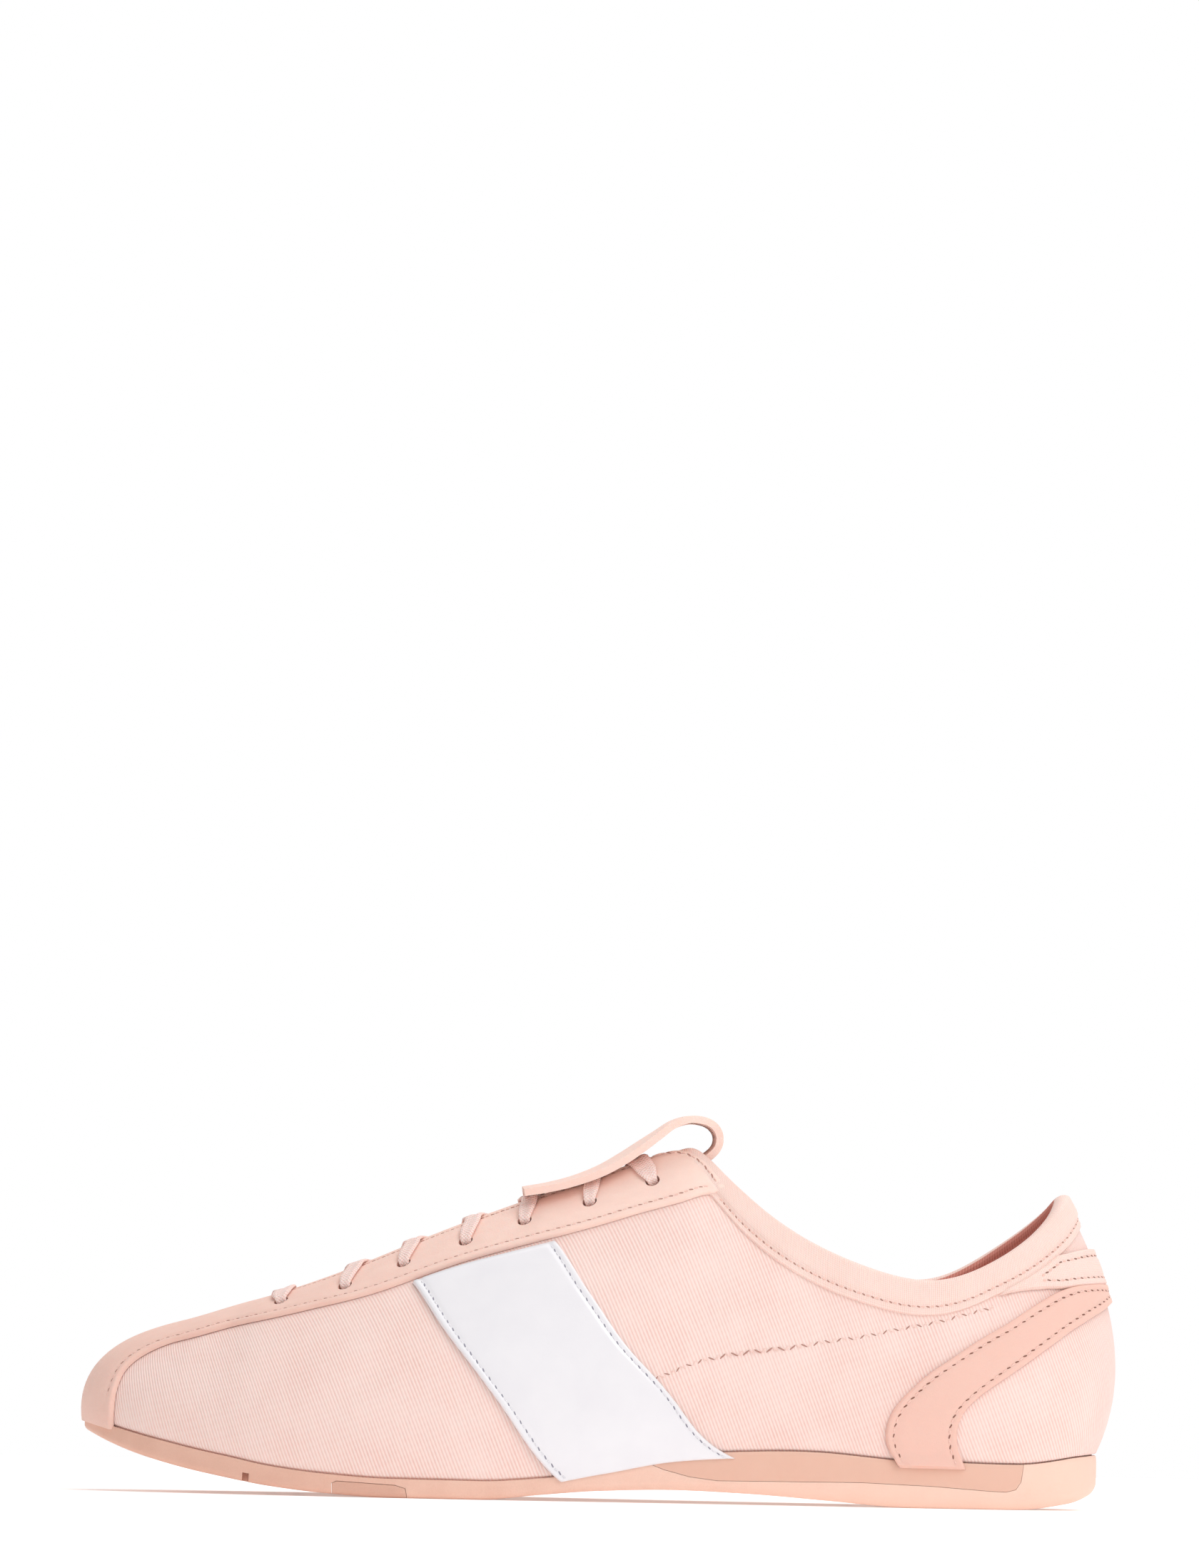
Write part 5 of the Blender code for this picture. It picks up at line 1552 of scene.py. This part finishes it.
    def heel_band(self, name: str, top: Array, low: Array, back: tuple, finish: Finish, node: str,
                  sunk: bool) -> None:
        """A band round the back of the heel between two outlines, its ends sunk or hung over the sole."""
        count = self.round_heel
        upper, lower = self.round_the_heel(top, back[0], count), self.round_the_heel(low, back[1], count)
        for edge in (upper, lower):
            clear = self.last.below_edge(edge[:, 0], band_drop(edge[:, 0]) - self.tuck)
            edge[:, 1] = np.minimum(edge[:, 1], clear)
        f = crowded(self.columns)[None, :, None]
        grid = lower[:, None] * (1 - f) + upper[:, None] * f
        if not sunk:
            place = np.arange(count)
            ends = 1 - eased(np.minimum(place, place[::-1]) / count, 0.0, 0.06)
            grid[..., 1] -= (self.overhang(grid[:, self.columns // 2, 0], 0.0022) * ends)[:, None]
        foot = 0.0 if sunk else SOLE_MARGIN + TOUCH
        self.band(name, grid, finish, node, sunk, foot)

    def make(self) -> None:
        """Builds and dresses every overlay."""
        self.make_strip()
        self.make_panels()
        strap_back, tab_back = (STRAP_BACK_TOP, STRAP_BACK_LOW), (TAB_BACK_TOP, TAB_BACK_LOW)
        self.heel_band("suede_heel_strap", STRAP_TOP, STRAP_LOW, strap_back, STRAP_SUEDE, "heel_strap", False)
        self.heel_band("heel_tab_band", TAB_TOP, TAB_LOW, tab_back, JERSEY, "heel_tab", True)


def band_drop(w: Array) -> Array:
    """Drop of the collar band below the rim, the same on both sides."""
    place = np.where(w > HEEL, ROUND - w, w)
    return np.interp(place, BAND_DROP[:, 0], BAND_DROP[:, 1])


def at_distance(values: Array, distance: Array, wanted: float, turned_over: bool) -> Array:
    """Values of each row where its distance reaches a wanted one.

    Args:
        values: rows of points or directions.
        distance: distances that grow along each row.
        wanted: the distance looked for.
        turned_over: whether the values run the other way than the distances.

    Returns:
        One point or direction a row.
    """
    values = values[:, ::-1] if turned_over else values
    high = np.clip(np.argmax(distance >= wanted, axis=1), 1, distance.shape[1] - 1)
    rows = np.arange(len(high))
    a, b = distance[rows, high - 1], distance[rows, high]
    t = np.clip((wanted - a) / np.maximum(b - a, 1e-9), 0, 1)[:, None]
    return values[rows, high - 1] * (1 - t) + values[rows, high] * t


@dataclass
class Collar:
    """Folded stretch binding over the collar's rim.

    Attributes:
        last: the shoe's form.
        seam: distance of its stitching above its lower edge.
        along: points along the collar.
    """

    last: Last
    seam: float = 0.0021
    along: int = 440

    def section(self) -> tuple[Array, Array]:
        """The band's outline: a thin cushion down the side, and its turn over the rim.

        Returns:
            Rows of share of the drop below the rim and share of the height, and rows of sine and cosine.
        """
        down = np.concatenate([[1.0, 1.0, 0.985, 0.95], np.linspace(0.9, 0.04, 30)])
        cushion = np.sin(pi * np.clip(1.06 - down, 0, 0.5)) ** 0.6
        cushion[:3] = (-0.6, 0.1, 0.5)
        turn = np.linspace(0.06, pi - 0.06, 14)
        return np.stack([down, cushion], -1), np.stack([-np.sin(turn), np.cos(turn)], -1)

    def make(self) -> None:
        """Carries the section round the collar and closes its ends under the strip."""
        fine = np.linspace(BAND_FRONT, ROUND - BAND_FRONT, 2000)
        run = lengths(self.last.surface(fine, np.ones(2000)))
        ahead = np.linspace(0, run[-1], self.along)
        w = np.interp(ahead, run, fine)
        drop = band_drop(w)
        near = np.minimum(w, ROUND - w)
        thick = (GAP + BINDING) * (0.3 + 0.5 * eased(near, 10.3, 10.9) + 0.2 * eased(near, 11.6, 12.4))
        rim = self.last.surface(w, np.ones(len(w)))
        rising = unit(rim - self.last.surface(w, np.full(len(w), 0.97)))
        normal = self.last.normal(w, np.ones(len(w)))
        outer, over = self.section()
        rows = []
        for down, share in outer:
            far = down * drop
            pinch = 0.0006 * np.exp(-(((drop - far - self.seam) / 0.0009) ** 2))
            rows.append((self.last.below_edge(w, far), share * thick - pinch))
        outside = [self.last.skin(w, v, lift) for v, lift in rows]
        inside = [self.last.skin(w, v, -WALL - lift) for v, lift in rows]
        centre = rim - normal * (WALL / 2)
        turned_over = [centre + normal * ((WALL / 2 + thick) * c)[:, None] - rising * (thick * s)[:, None]
                       for s, c in over]
        points = np.stack(outside + turned_over + inside[::-1], 1)
        n, m = points.shape[:2]
        around = lengths(points[n // 2]) / MM
        uv = np.stack(np.broadcast_arrays(ahead[:, None] / MM, around[None]), -1)
        faces = np.concatenate([quads(n, m, close_columns=True), ladder(0, m), ladder((n - 1) * m, m)])
        obj = mesh_object("collar_band", points, faces, uv)
        face_round(obj)
        sharpened(obj, 70.0)
        finished(obj, [JERSEY, LINING_CLOTH], ["collar_binding"])
        column = np.arange(len(faces)) % m
        inside = (column > len(outer) + 8) & (column < m - 1) & (np.arange(len(faces)) < (n - 1) * m)
        obj.data.polygons.foreach_set("material_index", inside.astype(np.int32))
        v = self.last.below_edge(w, drop - self.seam)
        up = self.last.normal(w, v)
        share = np.interp(self.seam / drop, 1 - outer[:, 0], outer[:, 1])
        seam = self.last.surface(w, v) + up * (share * thick - 0.0006)[:, None]
        kept = near > CORNER + 0.2
        seams, pair = [(seam[kept], up[kept])], [PINK_THREAD, SEAM_HOLE_SHADE]
        Stitching(pitch=0.0024, share=0.45).piece("collar_band_thread", seams, pair)


@dataclass
class Tongue:
    """Suede tongue that lies under the lacing and folds up, back and forward over it.

    Attributes:
        last: the shoe's form.
        columns: points across.
    """

    last: Last
    columns: int = 41

    def under_throat(self, place: float) -> Array:
        """Points across the tongue's top face at one place: a Bezier arch between its two hidden edges."""
        depth = -(WALL + LACE_ROOM)
        reach = TONGUE_REACH * np.interp(place, [TONGUE_LAST - 2.2, TONGUE_LAST], [1, TONGUE_NECK])
        legs = []
        for side in SIDES:
            w = turned(np.array([place, place]), side)
            v = self.last.below_edge(w, np.array([reach, reach * 0.45]))
            legs.append(self.last.skin(w, v, np.array([depth, depth])))
        (a, b), (d, c) = legs
        b, c = a + (b - a) * ARCH, d + (c - d) * ARCH
        return bezier(a, b, c, d, np.linspace(0, 1, self.columns)[:, None])

    def fold(self, start: Array, count: int) -> Array:
        """Sections of the fold: the middle path with the side edges bent off it by their sag.

        Args:
            start: the last section under the throat.
            count: number of sections.

        Returns:
            Sections after the first.
        """
        middle = start[self.columns // 2]
        half = (start[-1, 1] - start[0, 1]) / 2
        first = [(middle[0], middle[2], half, middle[2] - start[0, 2])]
        rows = np.vstack([first, FOLDS * (LENGTH, INSTEP_HEIGHT, FLAP_WIDTH, FLAP_WIDTH)])
        path = flowing(rows, count + 1)
        run = unit(np.gradient(path[:, :2], axis=0))
        shift = (start[-1, 1] + start[0, 1]) / 2 * np.linspace(1, 0, count + 1)
        across = np.linspace(-1, 1, self.columns)
        off = path[:, 3, None] * across**2
        far = eased(np.linspace(0, 1, count + 1), 0.2, 0.8)[:, None]
        off = off + 0.0003 * np.sin(across * 3.1 + 0.6)[None] * far
        x = path[:, 0, None] + run[:, 1, None] * off
        z = path[:, 1, None] - run[:, 0, None] * off
        y = path[:, 2, None] * across + shift[:, None]
        return np.stack([x, y, z], -1)[1:]

    def make(self) -> None:
        """Builds the sheet, gives it its thickness and softens its cut edges."""
        sections = np.stack([self.under_throat(p) for p in np.linspace(TONGUE_FRONT, TONGUE_LAST, 110)])
        points = np.concatenate([sections, self.fold(sections[-1], 120)])
        ahead = lengths(points[:, self.columns // 2]) / MM
        across = np.linspace(0, FLAP_WIDTH, self.columns) / MM
        uv = np.stack(np.broadcast_arrays(ahead[:, None], across[None]), -1)
        obj = mesh_object("suede_tongue", points, quads(*points.shape[:2]), uv)
        # The first rows lie under the throat, and their outer face looks up
        if np.mean([p.normal.z < 0 for p in obj.data.polygons[:400]]) > 0.5:
            obj.data.flip_normals()
        thickened(obj, FLAP_THICKNESS)
        bevelled(obj, KNIFE_ROUND, 3, 50)
        finished(obj, [STRIP_SUEDE], ["tongue"])


@dataclass
class Lacing:
    """Flat cotton lace through the eyelets: a straight bar at the front and crossings above it.

    Attributes:
        last: the shoe's form.
        width: width of the lace.
        thickness: its thickness.
        rows: points along each run.
    """

    last: Last
    width: float = LACE_WIDTH
    thickness: float = 0.00115
    rows: int = 70

    def strand(self, name: str, path: Array, ups: Array, widths: Array, nodes: Sequence[str]) -> None:
        """A rounded flat section carried along a path, narrower where it is pulled through a hole.

        Args:
            name: the piece's name.
            path: points of the path.
            ups: the lace's flat direction at each.
            widths: share of the full width at each.
            nodes: the solids that it replaces.
        """
        rows = flowing(np.hstack([path, ups, widths[:, None]]), self.rows)
        points, up, share = rows[:, :3], rows[:, 3:6], rows[:, 6]
        run = unit(np.gradient(points, axis=0))
        across = unit(np.cross(run, up))
        up = np.cross(across, run)
        turn = circle(20)
        flat = np.sign(np.cos(turn)) * np.abs(np.cos(turn)) ** 0.7 * self.width / 2
        thin = np.sign(np.sin(turn)) * np.abs(np.sin(turn)) ** 0.8 * self.thickness / 2
        thin -= 0.3 * self.thickness * np.exp(-((flat / 0.0008) ** 2)) * (np.sin(turn) > 0.3)
        body = points[:, None] + across[:, None] * (flat[None] * share[:, None])[..., None]
        body = body + up[:, None] * (thin[None] * (1.25 - 0.25 * share[:, None]))[..., None]
        ahead = lengths(points) / MM
        uv = np.stack(np.broadcast_arrays((flat / MM)[None], ahead[:, None]), -1)
        n, m = body.shape[:2]
        faces = np.concatenate([quads(n, m, close_columns=True), ladder(0, m), ladder((n - 1) * m, m)])
        obj = mesh_object(name, body, faces, uv)
        face_round(obj)
        finished(obj, [LACE_COTTON], nodes)

    def out_of_hole(self, place: Array, side: int, tilt: float) -> tuple:
        """Path from under an eyelet up through it and over the throat's edge, with directions and widths."""
        reach = self.last.reach_down(place, side)
        top = PANEL_LIFT + OVERLAY + 0.00005 + self.thickness / 2
        shares = np.array([1.0, 1.0, 0.93, 0.68, 0.35, 0.0])
        lifts = np.array([-0.0030, -0.0002, top * 0.75, top, top, top - self.thickness * 0.1])
        w = turned(place[0] + tilt * (1 - shares), side)
        v = self.last.below_edge(w, reach * shares)
        normal = self.last.normal(w, v)
        ahead = self.last.surface(w[-1:], v[-1:]) - self.last.surface(w[:1], v[:1])
        ahead /= np.linalg.norm(ahead)
        ups = normal.copy()
        ups[:2] = -ahead
        ups[2] = normal[2] - ahead[0] * 0.8
        return self.last.skin(w, v, lifts), ups, [0.5, 0.55, 0.68, 0.88, 0.96, 1.0]

    def under_edge(self, place: Array, side: int, tilt: float) -> tuple:
        """Path that dives under the throat's edge and ends below an eyelet."""
        reach = self.last.reach_down(place, side)
        shares = np.array([0.0, 0.45, 0.92])
        w = turned(place[0] + tilt * (1 - shares), side)
        v = self.last.below_edge(w, reach * shares)
        drop = WALL + LACE_ROOM / 2
        return self.last.skin(w, v, np.full(3, -drop)), self.last.normal(w, v), [1.0, 0.9, 0.8]

    def make(self) -> None:
        """Builds the front bar, the crossings, the hidden first crossing and the bar under the flap."""
        places = {side: self.last.located(EYELETS, side) for side in SIDES}
        self.bar("lace_bar_front_run", places, 0, (-0.05, 0.0), 1.25, ["lace_bar_front"])
        for i in range(1, len(EYELETS) - 1):
            for side, label in SIDE_NAMES.items():
                on = self.out_of_hole(places[side][i], side, 0.13)
                far = self.under_edge(places[-side][i + 1], -side, -0.16)
                far[0][0] += np.array([0, side * 0.0018, 0])
                hump = self.thickness * (0.9 if side < 0 else -0.1)
                middle = on[0][-1] * 0.5 + far[0][0] * 0.5 + np.array([0, 0, hump - 0.0008])
                self.strand(f"lace_crossing_{i}_{label}", *joined(on, middle, far), [f"lace_crossing_{i}"])
        self.bar("lace_bar_top_run", places, len(EYELETS) - 1, (-0.17, 0.002), 1.2, ["lace_bar_top"])
        self.hidden_crossing(places)

    def bar(self, name: str, places: dict, index: int, bow: tuple, spread: float, nodes: Sequence) -> None:
        """One run straight over from eyelet to eyelet.

        Args:
            name: the piece's name.
            places: the eyelets of each side.
            index: which pair.
            bow: its lean at each side in ribs, and how far its middle lies towards the toe.
            spread: how wide it opens between the eyelets.
            nodes: the solids that it replaces.
        """
        left, right = (self.out_of_hole(places[side][index], side, bow[0]) for side in SIDES)
        middle = (left[0][-1] + right[0][-1]) / 2 + np.array([-bow[1], 0, -0.0006])
        path, ups, widths = joined(left, middle, backwards(right))
        self.strand(name, path, ups, np.where(widths > 0.7, widths * spread, widths), nodes)

    def hidden_crossing(self, places: dict) -> None:
        """The first crossing, which passes under the throat's edges from the front bar to the next pair."""
        for side, label in SIDE_NAMES.items():
            near = self.under_edge(places[side][0], side, 0.1)
            far = self.under_edge(places[-side][1], -side, -0.1)
            hump = self.thickness * (0.7 if side < 0 else -0.2)
            middle = (near[0][0] + far[0][0]) / 2 + np.array([0, 0, hump])
            self.strand(f"lace_first_crossing_{label}", *joined(backwards(near), middle, far), [])


def backwards(half: tuple) -> tuple:
    """Half a lace's run the other way round."""
    return tuple(part[::-1] for part in half)


def joined(first: tuple, middle: Array, last: tuple) -> tuple:
    """A whole run of points, directions and widths, of two halves and the point between them."""
    up, whole = [[0, 0, 1]], [1.0]
    return (np.vstack([first[0], middle[None], last[0]]), np.vstack([first[1], up, last[1]]),
            np.concatenate([first[2], whole, last[2]]))


@dataclass(frozen=True)
class Studio:
    """Floor, backdrop light, lamps and the camera at the photograph's angle.

    Attributes:
        distance: from the camera to the shoe.
        frame_height: height of the frame at the shoe.
        drop: how far the shoe's middle lies below the middle of the frame.
        azimuth: degrees that the camera stands towards the heel.
        roll: degrees that the camera is turned about its view.
        sensor: height of the camera's sensor in millimetres.
        far_end: distance at which the camera stops seeing.
        floor_glow: light that the floor gives off, which keeps it white.
        backdrop_light: strength of the light from all round.
    """

    distance: float = 4.0
    frame_height: float = 0.4014
    drop: float = 0.1334
    azimuth: float = -1.0
    roll: float = 1.195
    sensor: float = 36.0
    far_end: float = 50.0
    floor_glow: float = 0.24
    backdrop_light: float = 0.45

    def make(self, low: Array, high: Array) -> None:
        """Builds the stage round the shoe's box."""
        self.floor()
        self.world()
        middle = Vector((low + high) / 2)
        for name, place, size, power in LAMPS:
            self.lamp(name, Vector(place), size, power, middle)
        self.camera(middle)

    def floor(self) -> None:
        """A plain white floor."""
        grid = np.array([(-2.2, -2.4, 0.0), (2.2, -2.4, 0.0), (2.2, 0.8, 0.0), (-2.2, 0.8, 0.0)]) + CENTRE
        obj = mesh_object("floor", grid, np.array([(0, 1, 2, 3)]))
        obj.data.materials.append(plain_material("plain_white_floor", {
            "Base Color": linear("#fbfafa"), "Roughness": 0.9, "Emission Color": (1.0, 0.995, 0.99, 1.0),
            "Emission Strength": self.floor_glow}))
        obj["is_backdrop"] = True

    def world(self) -> None:
        """A white backdrop to the camera, and softer light from all round for everything else."""
        world = bpy.data.worlds.new("white_backdrop")
        bpy.context.scene.world = world
        world.use_nodes = True
        tree = world.node_tree
        tree.nodes.clear()
        seen = add(tree, "ShaderNodeBackground", None, {"Color": (1, 1, 1, 1), "Strength": 1.0})
        warm = {"Color": (1, 0.99, 0.985, 1), "Strength": self.backdrop_light}
        light = add(tree, "ShaderNodeBackground", None, warm)
        ray = add(tree, "ShaderNodeLightPath").outputs["Is Camera Ray"]
        mix = add(tree, "ShaderNodeMixShader", None, {0: ray, 1: light.outputs[0], 2: seen.outputs[0]})
        add(tree, "ShaderNodeOutputWorld", None, {0: mix.outputs[0]})

    def lamp(self, name: str, place: Vector, size: float, power: float, target: Vector) -> None:
        """A soft square lamp that looks at the shoe."""
        data = bpy.data.lights.new(name, "AREA")
        data.shape = "SQUARE"
        data.size = size
        data.energy = power
        obj = linked(name, data)
        obj.location = place
        obj.rotation_mode = "QUATERNION"
        obj.rotation_quaternion = (target - place).to_track_quat("-Z", "Y")

    def camera(self, middle: Vector) -> None:
        """A long lens level with the shoe, pitched up so that the shoe lies low in the frame, and rolled."""
        data = bpy.data.cameras.new("camera")
        data.sensor_fit = "VERTICAL"
        data.sensor_height = self.sensor
        data.lens = self.sensor * self.distance / self.frame_height
        data.clip_end = self.far_end
        obj = linked("camera", data)
        angle = radians(self.azimuth)
        away = Vector((sin(angle), -cos(angle), 0.0))
        obj.location = middle + away * self.distance
        look = (-away).to_track_quat("-Z", "Y")
        roll = Quaternion((0, 0, 1), radians(self.roll))
        pitch = Quaternion((1, 0, 0), atan(self.drop / self.distance))
        obj.rotation_mode = "QUATERNION"
        obj.rotation_quaternion = look @ roll @ pitch
        bpy.context.scene.camera = obj
        bpy.context.scene.view_settings.view_transform = "Standard"


def main() -> None:
    """Builds the shoe piece by piece, then the studio."""
    logging.basicConfig(level=logging.INFO, format="%(name)s %(message)s")
    solid_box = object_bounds()
    last = Last()
    Sole(last).make()
    Upper(last).make()
    Overlays(last).make()
    Collar(last).make()
    Tongue(last).make()
    Lacing(last).make()
    low, high = (np.array(corner) for corner in solid_box)
    Studio().make(low, high)


if __name__ == "__main__":
    main()
